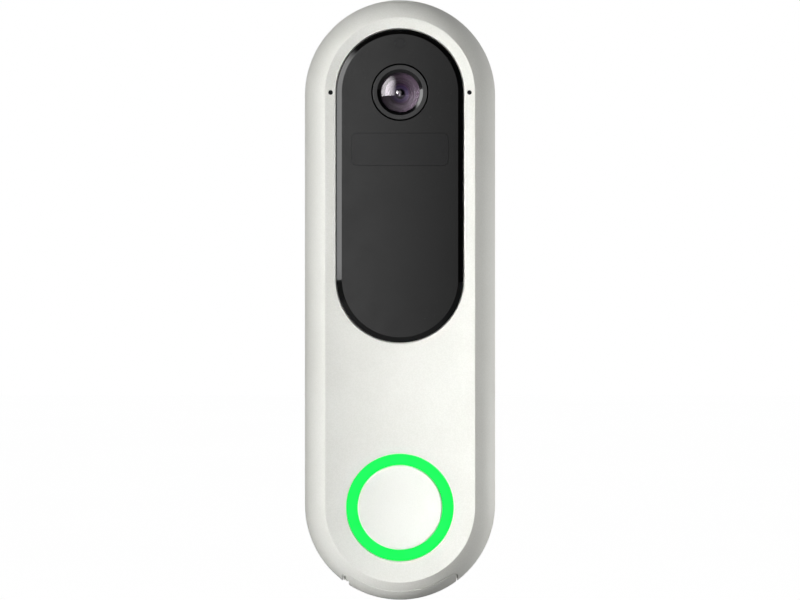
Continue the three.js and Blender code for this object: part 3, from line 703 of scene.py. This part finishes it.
# %% Rear tub
TUB_TOP = PART_H - SEAM / 2
TUB_FLOOR = BACK_H + 1.5 * MM
tub_section = [
    (0, BACK_H),
    (BODY_R - 0.9 * MM, BACK_H),
    *arc((BODY_R - 0.8 * MM, BACK_H + 0.8 * MM), 0.8 * MM, -85, -5, 5),
    (BODY_R, BACK_H + 0.9 * MM),
    (BODY_R, TUB_TOP - 0.2 * MM),
    (BODY_R - 0.2 * MM, TUB_TOP),
    (BODY_R - WALL, TUB_TOP),
    (BODY_R - WALL, TUB_FLOOR),
    (0, TUB_FLOOR),
]


def block(name, x, h, z, bevel=0.0, axis=(0, 1, 0)):
    """A box between two corners, given as (low, high) pairs, with the edges along an axis
    rounded. h is the height above the wall."""
    size = (x[1] - x[0], h[1] - h[0], z[1] - z[0])
    middle = ((x[0] + x[1]) / 2, -(h[0] + h[1]) / 2, (z[0] + z[1]) / 2)
    piece = add(name, bpy.ops.mesh.primitive_cube_add, size=1, location=middle, scale=size)
    apply_all(piece)
    if bevel:
        edit(piece)

        def chosen(edge):
            way = (edge.verts[1].co - edge.verts[0].co).normalized()
            return abs(way.dot(Vector(axis))) > 0.99

        pick(piece, "edges", chosen)
        bpy.ops.mesh.bevel(offset=bevel, segments=4, affect="EDGES")
        done()
    return piece


HOOKS = [(x * MM, z * MM) for x in (-18.3, 18.3) for z in (-30, 30)]
FLOOR_CUT = (2 * MM, 6 * MM)  # heights that reach right through the floor
LUG_ROOM = mm((-4.1, 4.1), (2, 6), (-67.4, -55.6))
TERMINAL_ROOM = mm((-10, 10), (2, 9), (25.6, 34.4))
SPEAKER_Z = 28 * MM

def column(name, x, h, z, corner):
    """A box with its upright edges rounded, all in millimetres."""
    return block(name, *mm(x, h, z), corner * MM, (0, 0, 1))


tub = sweep_pill("rear_shell", tub_section)
boolean(tub, cap_block("block", SEAM))
for x, z in HOOKS:
    spans = (x - 2.5 * MM, x + 2.5 * MM), FLOOR_CUT, (z - 7.5 * MM, z + 3.3 * MM)
    boolean(tub, block("slot", *spans, 0.45 * MM))
for i in range(5):
    z = SPEAKER_Z + (i - 2) * 3.2 * MM
    spans = *mm((-26, -21), (6.8, 13.6)), (z - 0.6 * MM, z + 0.6 * MM)
    boolean(tub, block("slot", *spans, 0.55 * MM, (1, 0, 0)))
boolean(tub, block("slot", *LUG_ROOM, 0.5 * MM))
boolean(tub, block("slot", *TERMINAL_ROOM, 0.8 * MM))
report(tub)

# %% [markdown]
# The tray's cap hangs over a slot for a fingernail at its left end, and the security screw goes up
# through the lower end in a small pocket.

# %% Screw holes, bosses and the fingernail slot in the rear housing
def bar(name, radius, length, place, vertices, turned=0.0):
    """A round bar about a place, upright unless it is turned about X."""
    piece = add(
        name, bpy.ops.mesh.primitive_cylinder_add,
        vertices=vertices, radius=radius, depth=length, location=place, rotation=(turned, 0, 0),
    )
    apply_all(piece)
    return piece


def rod(name, radius, low, high, x, z, vertices=32):
    """A round bar out from the wall, between two heights above it."""
    return bar(name, radius, high - low, (x, -(low + high) / 2, z), vertices, math.pi / 2)


def upright(name, radius, low, high, x, h):
    """A round bar that runs up the wall, at a height above it."""
    return bar(name, radius, high - low, (x, -h, (low + high) / 2), 32)


NAIL = *mm((-14.43, -12.9), (0, 22), (-80, -71)), 0.25 * MM  # its box and its rounding
SCREWS = dict(zip(
    ("upper_left", "upper_right", "lower_left", "lower_right"),
    mm((-16.2, 59.8), (16.2, 59.8), (-17.3, -57), (17.3, -57)),
))
SECURITY_H = 5.9 * MM
SECURITY_BORE_R = 1.25 * MM
SCREW_BOSS = mm((-3.6, 3.6), (BACK_H / MM + 0.2, 8.1), (-75.2, -68.4))
TERMINAL_BOSS = mm((-11, 11), (BACK_H / MM + 0.5, 9.6), (24.6, 35.4))
for spans in (SCREW_BOSS, TERMINAL_BOSS):
    boolean(tub, block("boss", *spans), "UNION")
boolean(tub, block("slot", *TERMINAL_ROOM, 0.8 * MM))
boolean(tub, upright("bore", SECURITY_BORE_R, -80 * MM, -60 * MM, 0, SECURITY_H))
boolean(tub, upright("pocket", 2 * MM, -80 * MM, -72.9 * MM, 0, SECURITY_H))
for x, z in SCREWS.values():
    boolean(tub, rod("boss", 2.7 * MM, 4.4 * MM, PART_H, x, z), "UNION")
    boolean(tub, rod("bore", 1.3 * MM, 2 * MM, 18 * MM, x, z))
    boolean(tub, rod("pocket", 2.4 * MM, 2 * MM, 5.6 * MM, x, z))
boolean(tub, block("nail", *NAIL))
tidy_mesh(tub, 0.01 * MM)
print("seam edges on the tub:", soften_seam(tub, SEAM, 0.2 * MM))
dress(tub, WHITE, "housing", "white_shell", "rear_housing")

# %% The cap itself
CAP_WALL = 2.2 * MM
cap_section = [  # the outer form as a solid shell as thick as the cap
    (BODY_R - CAP_WALL, BACK_H),
    (BODY_R, BACK_H),
    *rim_points(CAP["front"], RIM_H, steps=17),
    *rim_points(CAP["front"], RIM_H, CAP_WALL, 8)[::-1],
    (BODY_R - CAP_WALL, BACK_H),
]
cap = sweep_pill("battery_cap", cap_section)
boolean(cap, cap_block("block", 0), "INTERSECT")
tidy_mesh(cap, 0.02 * MM)
print("seam edges on the cap:", soften_seam(cap, 0, 0.42 * MM, 4))
report(cap)
plug = column("plug", (-12.1, 12.1), (10.5, 18.5), (-78, -66), 1)
boolean(plug, rod("round_end", 22.8 * MM, 5 * MM, 24 * MM, 0, -END, 96), "INTERSECT")
boolean(cap, plug, "UNION")
boolean(cap, block("crevice", *mm((-14.6, -13.6), (18, 26), (-72, -69.6)), 0.2 * MM))
boolean(cap, block("nail", *NAIL))
tidy_mesh(cap, 0.005 * MM)
dress(cap, WHITE, "battery_tray", "white_shell", "tray_cap")

# %% [markdown]
# ## The black window
#
# A polished panel that stands 0.8 mm proud of the face, with a wide chamfer all round. The edges
# of the chamfer are rounded by a few hundredths, as polishing leaves them.

# %% Window
window_points = [
    (0, GLASS_H - 2 * MM),
    (GLASS_R, GLASS_H - 2 * MM),
    (GLASS_R, GLASS_H - 0.95 * MM),
    (GLASS_R - 1.25 * MM, GLASS_H),
    (0, GLASS_H),
]
window_section = rounded(window_points, [0, 0, 0.15, 0.2, 0], 4, closed=False)
window = sweep_pill("black_window", window_section, END, GLASS_LOW, 64)
CAMERA_HOLE = 7.15 * MM
SENSOR = dict(x=12.1 * MM, z=(33.6 * MM, 41.8 * MM), corner=1.3 * MM, gap=0.05 * MM)
LIGHT_Z = 64.3 * MM
LIGHT_R = 1.25 * MM


def round_hole(radius, flare, z, steps):
    """Cuts a flared round hole right through the window."""
    section = flared(radius, GLASS_H - 3 * MM, GLASS_H, flare, 3)
    boolean(window, turn("hole", section, 0, z, steps))


round_hole(CAMERA_HOLE, 0.08 * MM, END, 96)
round_hole(LIGHT_R + SENSOR["gap"], 0.015 * MM, LIGHT_Z, 40)
sensor_hole = (-SENSOR["x"], SENSOR["x"]), (25 * MM, 29 * MM), SENSOR["z"]
boolean(window, block("hole", *sensor_hole, SENSOR["corner"]))
tidy_mesh(window)
dress(window, BLACK_GLASS, "housing", "black_glass", "window_glass", angle=28)

# %% Sensor windows
def inlay(piece, node):
    """Rounds the front edges of a flat inlay by a few hundredths, and finishes it."""
    edit(piece)
    top = -GLASS_H
    pick(piece, "edges", lambda e: all(v.co.y < top + EPS for v in e.verts))
    bpy.ops.mesh.bevel(offset=0.015 * MM, segments=2, affect="EDGES")
    done()
    dress(piece, SENSOR_BLACK, "housing", "window_black", node)


gap = SENSOR["gap"]
spans = (
    (-SENSOR["x"] + gap, SENSOR["x"] - gap),
    (GLASS_H - 2 * MM, GLASS_H),
    (SENSOR["z"][0] + gap, SENSOR["z"][1] - gap),
)
inlay(block("motion_inlay", *spans, SENSOR["corner"] - gap), "motion_window")
disc = rod("light_inlay", LIGHT_R, GLASS_H - 2 * MM, GLASS_H, 0, LIGHT_Z, 48)
inlay(disc, "light_sensor_window")

# %% [markdown]
# ## The camera
#
# From outside in: a trim ring level with the window, its sloping mouth, and a domed front lens.
# The dome covers a barrel whose stepped rings and inner lens show through it. All of them are
# turned about the lens axis, so a section and Spin make each one.

# %% Trim ring
trim_points = [
    *mm((5.75, 25.5), (6.85, 25.5)),
    (6.85 * MM, GLASS_H),
    (5.75 * MM, GLASS_H - 0.015 * MM),
    (4.98 * MM, GLASS_H - 0.6 * MM),
    *mm((4.98, 26.3), (5.75, 26.3)),
]
trim_section = rounded(trim_points, [0, 0, 0.08, 0.04, 0.05, 0, 0], 3)
TRIM_BLACK = smoked("trim black", rgb(10, 10, 11), 0.07, 0.1, 1.65)
trim = turn("camera_ring", trim_section, 0, END, 96)
dress(trim, TRIM_BLACK, "housing", "black_plastic", "camera_trim", angle=25)

# %% [markdown]
# The barrel is one turned piece with steps, and its colour follows the distance from the lens
# axis: mauve-grey baffles outside, a purple and blue coated ring, and a black pupil. A ramp on
# that distance does it, and the steps themselves are real, so that they catch light.

# %% Barrel with its baffles and pupil
LENS_RAMP = [
    (0.00, rgb(2, 2, 3)),
    (0.23, rgb(3, 3, 5)),
    (0.26, rgb(56, 44, 70)),
    (0.31, rgb(88, 72, 104)),
    (0.38, rgb(58, 48, 92)),
    (0.47, rgb(82, 54, 84)),
    (0.53, rgb(60, 46, 60)),
    (0.60, rgb(98, 84, 96)),
    (0.76, rgb(88, 77, 86)),
    (0.90, rgb(108, 92, 106)),
    (1.00, rgb(94, 82, 92)),
]
LENS_REACH = 4.9 * MM  # from the axis to where the ramp ends


def coated_rings():
    made, place, drive = material("coated rings", IOR=1.5)
    kind = "VectorMath"
    flat = place.node(kind, {"operation": "MULTIPLY"}, i0=place, i1=(1, 0, 1))
    away = flat.node(kind, {"operation": "DISTANCE"}, 1, i0=flat, i1=(0, 0, END))
    wobble = place.noise(500, 2.0, 0.5)
    share = away * (1 / LENS_REACH) + wobble * 0.02 - 0.01
    rings = share.node("ValToRGB", {"stops": LENS_RAMP}, i0=share)
    drive(Base_Color=rings, Roughness=wobble.ramp(0.3, 0.7, 0.3, 0.4))
    return made


RINGS = coated_rings()
barrel_section = mm(
    (3.0, 13.5), (5.4, 13.5), (5.4, 22.4), (5.6, 22.4), (5.6, 25.2), (5.0, 25.2),
    (4.95, 25.05), (4.1, 24.85), (4.05, 24.6), (3.4, 24.35), (3.35, 24.0), (2.85, 23.75),
    (2.7, 23.1), (2.2, 22.9), (1.7, 22.75), (1.25, 22.7), (1.15, 22.4), (1.15, 20.4),
    (3.0, 20.4), (3.0, 13.5),
)
barrel = turn("camera_barrel", barrel_section, 0, END, 72)
dress(barrel, RINGS, "housing", "black_plastic", "lens_barrel", angle=20)

# %% [markdown]
# Glass that is seen through is a mix of two shaders: transparent, and a mirror whose share grows
# where the glass is seen edge on, by Schlick's rule. It lets light in to the rings behind, which
# a fully refracting lens would take far longer to do. Both lenses curve on the back as well, like
# the real ones: a flat back would mirror the room evenly over the whole lens.

# %% Front lens and inner lens
def clear_glass(name, strength, mirror_color, rough):
    """Glass to see through. strength is the share that it mirrors when seen square on."""
    made, place, show = bare_material(name)
    smear = place.noise(700, 2.0, 0.5)
    mirror = place.node("BsdfGlossy", Color=mirror_color, Roughness=rough)
    clear = place.node("BsdfTransparent", Color=(0.97, 0.95, 0.98, 1))
    edge = place.node("LayerWeight", output=1, Blend=0.5).math("POWER", 5.0)
    share = edge * (1 - strength) + (smear * 0.006 + strength)
    show(share.node("MixShader", i0=share, i1=clear, i2=mirror))
    return made


FRONT_GLASS = clear_glass("front lens glass", 0.10, (0.98, 0.93, 0.97, 1), 0.03)
INNER_GLASS = clear_glass("inner lens glass", 0.10, (0.92, 0.86, 1.0, 1), 0.04)


def dome(edge_r, edge_h, crown_h, steps=14):
    """Points of a dome, from its edge up to its crown."""
    rise = crown_h - edge_h
    radius = (edge_r**2 + rise**2) / (2 * rise)
    half = math.degrees(math.asin(edge_r / radius))
    points = arc((0, crown_h - radius), radius, 90 - half, 90, steps)
    return points[:-1] + [(0, crown_h)]


def lens(name, finish, node, edge_r, front, back, steps):
    """A turned lens. front and back are the heights of each side's edge and crown, in mm."""
    front, back = mm(front, back)
    section = dome(edge_r, *back)[::-1] + dome(edge_r, *front)
    piece = turn(name, section, 0, END, steps)
    dress(piece, finish, "housing", "lens_glass", node, angle=25)


lens("front_dome", FRONT_GLASS, "front_lens", 4.93 * MM, (26.95, 27.97), (25.7, 27), 96)
lens("inner_dome", INNER_GLASS, "inner_lens", 2.1 * MM, (21.4, 22.1), (20.6, 21.2), 48)

# %% [markdown]
# ## The painted shade in the microphone holes
#
# A black matt plug stands just below the mouth of each microphone hole. It is painted shade: it
# stands in for the shade deep inside the hole, and it is why the holes look black.

# %% Painted shade in the microphone holes
shade_plug_points = mm((0, 25), (0.57, 25), (0.57, 26.9), (0, 26.95))
shade_plug_section = rounded(shade_plug_points, [0, 0, 0.1, 0], 3, closed=False)
# Each black plug is painted shade, in place of the shade inside its hole.
for side, x in MIC_X.items():
    shade_plug = turn("mic_mesh_" + side, shade_plug_section, x, END, 24)
    dress(shade_plug, HOLE_SHADE_BLACK, "housing", "rubber")

# %% [markdown]
# ## The lit ring and the button
#
# The ring is a flat-topped tube with a flange behind the cover. The button's top is a shallow
# dish with a rounded edge, so a fingertip finds its middle.

# %% Ring and button
flange = mm((10.7, 22.95), (14.6, 22.95), (14.6, 24.5), (13.35, 24.5))
ring_points = flange + [(13.35 * MM, FACE_H), (10.7 * MM, FACE_H)]
ring_section = rounded(ring_points, [0, 0.2, 0.2, 0, 0.1, 0.1], 3)


def button_section():
    sphere = 222 * MM  # radius of the dish
    middle = FACE_H - 0.25 * MM
    rim_r, edge_r = 10.2 * MM, 0.43 * MM
    dish = [(0, middle)]
    for i in range(1, 9):
        r = rim_r * i / 8
        dish.append((r, middle + sphere - math.sqrt(sphere**2 - r**2)))
    edge = arc((rim_r, dish[-1][1] - edge_r), edge_r, 84, 0, 7)
    return dish + edge + mm((10.63, 24.9), (9.2, 24.9), (9.2, 25.6), (0, 25.6))


ring = turn("glow_ring", ring_section, 0, -END, 128)
dress(ring, GREEN_LIGHT, "housing", "green_light", "light_ring")
button = turn("push_button", button_section(), 0, -END, 128)
dress(button, BUTTON_WHITE, "button", "button_white", "button_cap")

# %% [markdown]
# ## Screws
#
# A cross-head screw is a turned head and shank, with a cross cut into the head. It is modelled
# once at the origin, pointing away from the wall, then copied to each place with its own mesh.

# %% One screw, and its copies
def screw(name, head_r, head_h, shank_r, length):
    """A screw whose head's underside is at the origin, with the shank out from the wall."""
    points = [
        (0, -head_h),
        (head_r * 0.72, -head_h),
        (head_r, -head_h * 0.55),
        (head_r, 0),
        (shank_r, 0),
    ]
    section = rounded(points, [0, 0.2, 0.2, 0.08, 0], 3, closed=False)
    pitch = 0.5 * MM
    turns = int((length - shank_r) / pitch)
    for i in range(turns):
        h = i * pitch
        section += [(shank_r, h + 0.15 * MM), (shank_r * 0.86, h + 0.4 * MM)]
    section += [(shank_r * 0.5, length - 0.1 * MM), (0, length)]
    made = turn(name, section, 0, 0, 28)
    arm, blade = head_r * 0.62, head_r * 0.14
    depth = (-head_h - MM, -head_h + head_h * 0.55)
    for x, z in ((arm, blade), (blade, arm)):
        boolean(made, block("cross", (-x, x), depth, (-z, z)))
    tidy_mesh(made)
    smooth(made, 30)
    return made


UP = math.pi / 2 + math.pi  # the turn that points a screw up the wall


def copy_to(master, name, place, body, node, turned=0.0):
    """Puts a copy of a screw, with its own mesh, in its place, and finishes it."""
    alone(master)
    bpy.ops.object.duplicate(linked=False)
    piece = name_new(name)
    piece.rotation_euler = (turned, 0, 0)
    piece.location = place
    apply_all(piece)
    dress(piece, STEEL, body, "steel", node, angle=None)


case_screw = screw("case_screw", 2.1 * MM, 1.5 * MM, 1.1 * MM, 13.5 * MM)
for where, (x, z) in SCREWS.items():
    place = (x, -5.5 * MM, z)
    copy_to(case_screw, "case_screw_" + where, place, "housing", "housing_screw_" + where)

wire_screw = screw("wire_screw", 2.6 * MM, 1.2 * MM, 1.3 * MM, 4 * MM)
for side, x in (("left", -5 * MM), ("right", 5 * MM)):
    place, node = (x, -4.3 * MM, 30 * MM), "terminal_screw_" + side
    copy_to(wire_screw, "wire_screw_" + side, place, node, node)

lock_screw = screw("lock_screw", 1.8 * MM, 1.5 * MM, 1 * MM, 17.5 * MM)
place, node = (0, -SECURITY_H, -73 * MM), "security_screw"
copy_to(lock_screw, "lower_lock_screw", place, node, node, UP)
for master in (case_screw, wire_screw, lock_screw):
    bpy.data.objects.remove(master)

# %% [markdown]
# ## The wall bracket
#
# A grey plate with a raised lip round it, four hooks that the housing drops onto, a lug for the
# security screw, a window for the chime's wires and two countersunk holes for the wall screws.

# %% Bracket
plate_points = mm((0, 0), (21.4, 0), (21.4, 3.1), (20, 3.1), (20, 2.6), (0, 2.6))
plate_radii = [0, 0.3, 0.25, 0.25, 0.15, 0]
plate = sweep_pill("wall_plate", rounded(plate_points, plate_radii, 3, closed=False))
for x, z in HOOKS:
    wide = (x - 2 * MM, x + 2 * MM)
    neck = block("neck", wide, (2 * MM, 6.9 * MM), (z, z + 3 * MM))
    boolean(plate, neck, "UNION")
    lip = block("lip", wide, (5.2 * MM, 6.9 * MM), (z, z + 7.5 * MM), 0.3 * MM, (1, 0, 0))
    boolean(plate, lip, "UNION")
boolean(plate, column("lug", (-3.5, 3.5), (2, 8), (-60, -56), 0.4), "UNION")
wires = mm((0, -1), (8.5, -1), (8.5, 5), (0, 5))
boolean(plate, sweep_pill("wires", wires, 33 * MM, 22 * MM))
sink = mm((0, -1), (2.3, -1), (2.3, 0.8), (4.3, 2.61), (4.3, 4), (0, 4))
for z in (58 * MM, -34 * MM):
    boolean(plate, turn("sink", sink, 0, z, 48))
boolean(plate, upright("bore", SECURITY_BORE_R, -70 * MM, -50 * MM, 0, SECURITY_H))
tidy_mesh(plate, 0.005 * MM)
dress(plate, GREY, "bracket", "grey_plastic", "wall_bracket", angle=30)

# %% [markdown]
# ## The battery and its sleeve
#
# These show when the tray is drawn out. The pack is a black moulded case with a shallow panel on
# its front and a rounded end; two holes at the top let the spring contacts touch the pack's.

# %% Pack case, sleeve and seal
PACK_MIDDLE = (9.7 * MM + 19.3 * MM) / 2  # above the wall
CONTACT_X = dict(left=-6 * MM, right=6 * MM)


def bevel_picked(piece, test, width):
    """Rounds the edges of a piece for which the test holds."""
    edit(piece)
    pick(piece, "edges", test)
    bpy.ops.mesh.bevel(offset=width, segments=3, affect="EDGES")
    done()


def contact_holes(piece, radius, low, high):
    for x in CONTACT_X.values():
        boolean(piece, upright("hole", radius * MM, low * MM, high * MM, x, PACK_MIDDLE))
    tidy_mesh(piece)


pack = column("battery_pack", (-12.9, 12.9), (9.7, 19.3), (-65.9, 12), 1.6)
bevel_picked(pack, lambda e: all(v.co.z > 11.99 * MM for v in e.verts), 0.6 * MM)
boolean(pack, column("hollow", (-11.8, 11.8), (10.8, 18.2), (-67, 10.8), 1.2))
boolean(pack, block("panel", *mm((-9.5, 9.5), (19, 21), (-50, -6)), 1.5 * MM))
contact_holes(pack, 1.7, 9, 14)
dress(pack, BLACK_PLASTIC, "battery_tray", "black_plastic", "battery_case")

sleeve = column("battery_well", (-14.2, 14.2), (8.4, 20.6), (-67.2, 15), 2)
boolean(sleeve, column("hollow", (-13.2, 13.2), (9.4, 19.6), (-69, 13.8), 1.7))
contact_holes(sleeve, 1.3, 12, 17)
dress(sleeve, BLACK_PLASTIC, "housing", "black_plastic", "battery_sleeve")

seal = column("cap_gasket", (-13.1, 13.1), (9.5, 19.5), (-67, -66), 2.2)
boolean(seal, column("hollow", (-12.2, 12.2), (10.4, 18.6), (-69, -64), 1.1))


def seal_rim(edge):
    """The level edges of the seal's outside."""
    one, two = (v.co for v in edge.verts)
    outside = abs(one.x) > 12.5 * MM or not 10.2 * MM < -one.y < 18.8 * MM
    return outside and abs(one.z - two.z) < EPS


bevel_picked(seal, seal_rim, 0.25 * MM)
dress(seal, RUBBER, "battery_tray", "rubber", "cap_seal", angle=40)

# %% Contacts
def contact(name, radius, low, high, side, body, node):
    """A gold pin up the wall, sized in millimetres, with its rim and point rounded."""
    points = mm((0, low), (radius, low), (radius, high), (0, high))
    section = rounded(points, [0, radius * 0.4, 0.15, 0], 4, closed=False)
    piece = turn(name + side, section, steps=24)
    piece.rotation_euler = (-math.pi / 2, 0, 0)
    piece.location = (CONTACT_X[side], -PACK_MIDDLE, 0)
    apply_all(piece)
    dress(piece, GOLD, body, "gold", node + side, angle=40)


for side in CONTACT_X:
    contact("pack_pad_", 1.5, 7.8, 11.8, side, "battery_tray", "pack_contact_")
    contact("sprung_pin_", 1.1, 12.3, 16.6, side, "housing", "spring_contact_")

# %% [markdown]
# ## The pieces inside
#
# The rest of the model is hidden by the housing, or seen only through a gap. Those nodes keep
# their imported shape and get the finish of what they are.

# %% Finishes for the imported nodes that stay
INSIDE = {
    BLACK_PLASTIC: ["lens_holder", "terminal_block", "switch_stem"],
    CIRCUIT: ["camera_board", "main_board", "button_board", "protection_board"],
    CHIP: ["image_sensor", "light_sensor", "button_switch", "speaker_frame"],
    STEEL: ["processor_shield", "motion_sensor", "microphone_left", "microphone_right"]
    + ["board_screw_" + where for where in SCREWS],
    GOLD: ["wifi_antenna", "button_flex"],
    RUBBER: ["housing_seal", "window_tape", "button_seal", "microphone_seal_left",
             "microphone_seal_right"],
    LENS_GLASS: ["infrared_led_left", "infrared_led_right"],
    CELL_WRAP: ["battery_cell"],
    CONE: ["speaker_cone"],
    WHITE: ["button_carrier"],
}
for finish, names in INSIDE.items():
    for name in names:
        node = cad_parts[name]
        for place in node.material_slots:
            place.material = finish
print(sum(len(names) for names in INSIDE.values()), "packed nodes keep their shape")

# %% [markdown]
# ## Floor, light and camera
#
# A white floor and a pale room. Two kinds of lamp share the work. Area lights do the lighting:
# narrow beams from the left fall mostly on the right half of the face, and wide ones fill the rim
# and the back. Glowing cards only show in reflections: a large one to the left, whose lower edge
# is level with the middle of the doorbell, a small one in front, and a spark for the lens. Light
# and reflection can then be set one at a time.
#
# The floor lies below the battery when it is drawn right out.

# %% Room
def facing(piece, target):
    """Turns a panel or a light so that its -Z side faces a point."""
    way = Vector(target) - piece.location
    piece.rotation_euler = way.to_track_quat("-Z", "Y").to_euler()


def card(name, width, height, place, target, across, up=(1.0, 1.0, -0.5, 0.5)):
    """A glowing card that only shows in reflections. across is its glow on its left and on its
    right and where, in shares of its width from the middle, one starts and ends turning into the
    other. up multiplies that in the same way, from its lower edge to its upper."""
    piece = add(name, bpy.ops.mesh.primitive_plane_add, size=1, location=place)
    piece.scale = (width, height, 1)
    facing(piece, target)
    made, local, show = bare_material(name + " glow")
    x, y = (local.node("SeparateXYZ", output=i, Vector=local) for i in (0, 1))
    left, right, start, end = across
    low, high, bottom, top = up
    glow = x.ramp(start, end, left, right) * y.ramp(bottom, top, low, high)
    show(glow.node("Emission", Strength=glow))
    piece.data.materials.append(made)
    piece.visible_camera = False
    piece.visible_diffuse = False


def area(name, width, height, place, target, power, spread):
    """A soft light that doesn't show in reflections. spread is in degrees."""
    data = bpy.data.lights.new(name, "AREA")
    data.shape = "RECTANGLE"
    data.size, data.size_y = width, height
    data.energy = power
    data.spread = math.radians(spread)
    light = bpy.data.objects.new(name, data)
    bpy.context.scene.collection.objects.link(light)
    light.location = place
    facing(light, target)
    light.visible_glossy = False
    light.visible_camera = False


world = bpy.data.worlds.new("white room")
bpy.context.scene.world = world
world.use_nodes = True
tree = world.node_tree
sky = tree.nodes["Background"]
sky.inputs["Color"].default_value = (1, 1, 1, 1)
coordinates = tree.nodes.new("ShaderNodeTexCoord")
direction = Wire(tree, coordinates.outputs["Generated"])
east, back, up = (
    direction.node("SeparateXYZ", output=i, Vector=direction) for i in range(3)
)


def lobe(toward):
    """A soft glow of the room on one side."""
    side = toward.math("MAXIMUM", 0.0)
    return side * side


room = lobe(east) * 0.4 + lobe(back) * 0.7 + lobe(up * -1) * 0.1 + 0.1
mirrored = back.ramp(0.0, 0.35, 0.0, 0.4)
glossy_ray = direction.node("LightPath", output="Is Glossy Ray")
camera_ray = direction.node("LightPath", output="Is Camera Ray")
unseen = room * (1 - glossy_ray) + mirrored * glossy_ray
strength = unseen * (1 - camera_ray) + camera_ray
tree.links.new(strength.socket, sky.inputs["Strength"])

TRAY_TRAVEL = 84 * MM
FLOOR_Z = CAD_LOW.z - TRAY_TRAVEL - 3 * MM  # clear of the battery tray when it is drawn right out
floor = add("floor", bpy.ops.mesh.primitive_plane_add, size=8, location=(0, 0, FLOOR_Z))
FLOOR_GLOW = 0.9
FLOOR_GREY = (0.38, 0.38, 0.38, 1), (0.42, 0.42, 0.42, 1)


def floor_white():
    """Matt white, with enough glow of its own towards the camera to melt into the room, and clear
    from below, so that the lower end of the doorbell can be looked at too."""
    made, local, show = bare_material("floor white")
    mottle = local.noise(3.0, 2.0, 0.5)
    matt = local.node("BsdfDiffuse", Color=mottle.mix(*FLOOR_GREY))
    seen = local.node("LightPath", output="Is Camera Ray")
    shine = local.node("Emission", Strength=seen * FLOOR_GLOW)
    both = local.node("AddShader", i0=matt, i1=shine)
    below = local.node("NewGeometry", output="Backfacing")
    clear = local.node("BsdfTransparent")
    show(local.node("MixShader", i0=below, i1=both, i2=clear))
    return made


floor.data.materials.append(floor_white())

card(
    "left_panel", 1.1, 0.9, (-0.50, -0.52, 0.455), (0, -0.05, 0.455),
    (4.6, 0.0, 0.08, 0.5), (1.0, 0.0, 0.08, 0.5),
)
card("front_card", 0.10, 0.22, (0, -0.95, 0.066), (0, 0, 0.066), (1.42, 0.45, -0.55, 0.55))
card("lens_spark", 0.14, 0.1, (-0.15, -0.9, 0.12), (0, 0, 0.052), (8.0, 8.0, -0.5, 0.5))
area("beam_b", 0.03, 0.22, (-0.16, -0.22, 0.03), (0.034, -0.027, 0.0), 0.0254, 24)
area("beam_c", 0.03, 0.22, (-0.22, -0.17, 0.03), (0.028, -0.027, 0.0), 0.0142, 16)
area("beam_d", 0.03, 0.12, (-0.18, -0.2, -0.01), (0.034, -0.027, -0.01), 0.0024, 22)
area("fill_low", 0.3, 0.08, (-0.05, -0.4, -0.03), (0, 0, -0.05), 0.24, 180)
area("left_mid", 0.3, 0.1, (-0.36, -0.3, -0.01), (0, 0, -0.01), 0.65, 180)
area("right_low", 0.05, 0.03, (0.10, 0.06, -0.055), (0.024, -0.014, -0.045), 0.04, 180)
area("back_right", 0.1, 0.12, (0.2, 0.02, -0.01), (0.02, -0.01, -0.02), 0.15, 180)

# %% Camera
CAMERA_AWAY = 690 * MM  # from the flat face
FRAME_WIDTH = 200.4 * MM  # what the picture takes in at the face
camera_data = bpy.data.cameras.new("camera")
camera_data.sensor_width = 36
camera_data.lens = 36 * CAMERA_AWAY / FRAME_WIDTH
camera = bpy.data.objects.new("camera", camera_data)
bpy.context.scene.collection.objects.link(camera)
camera.location = (0, -FACE_H - CAMERA_AWAY, 0)
camera.rotation_euler = (math.pi / 2, 0, 0)
bpy.context.scene.camera = camera
bpy.context.scene.view_settings.view_transform = "Standard"
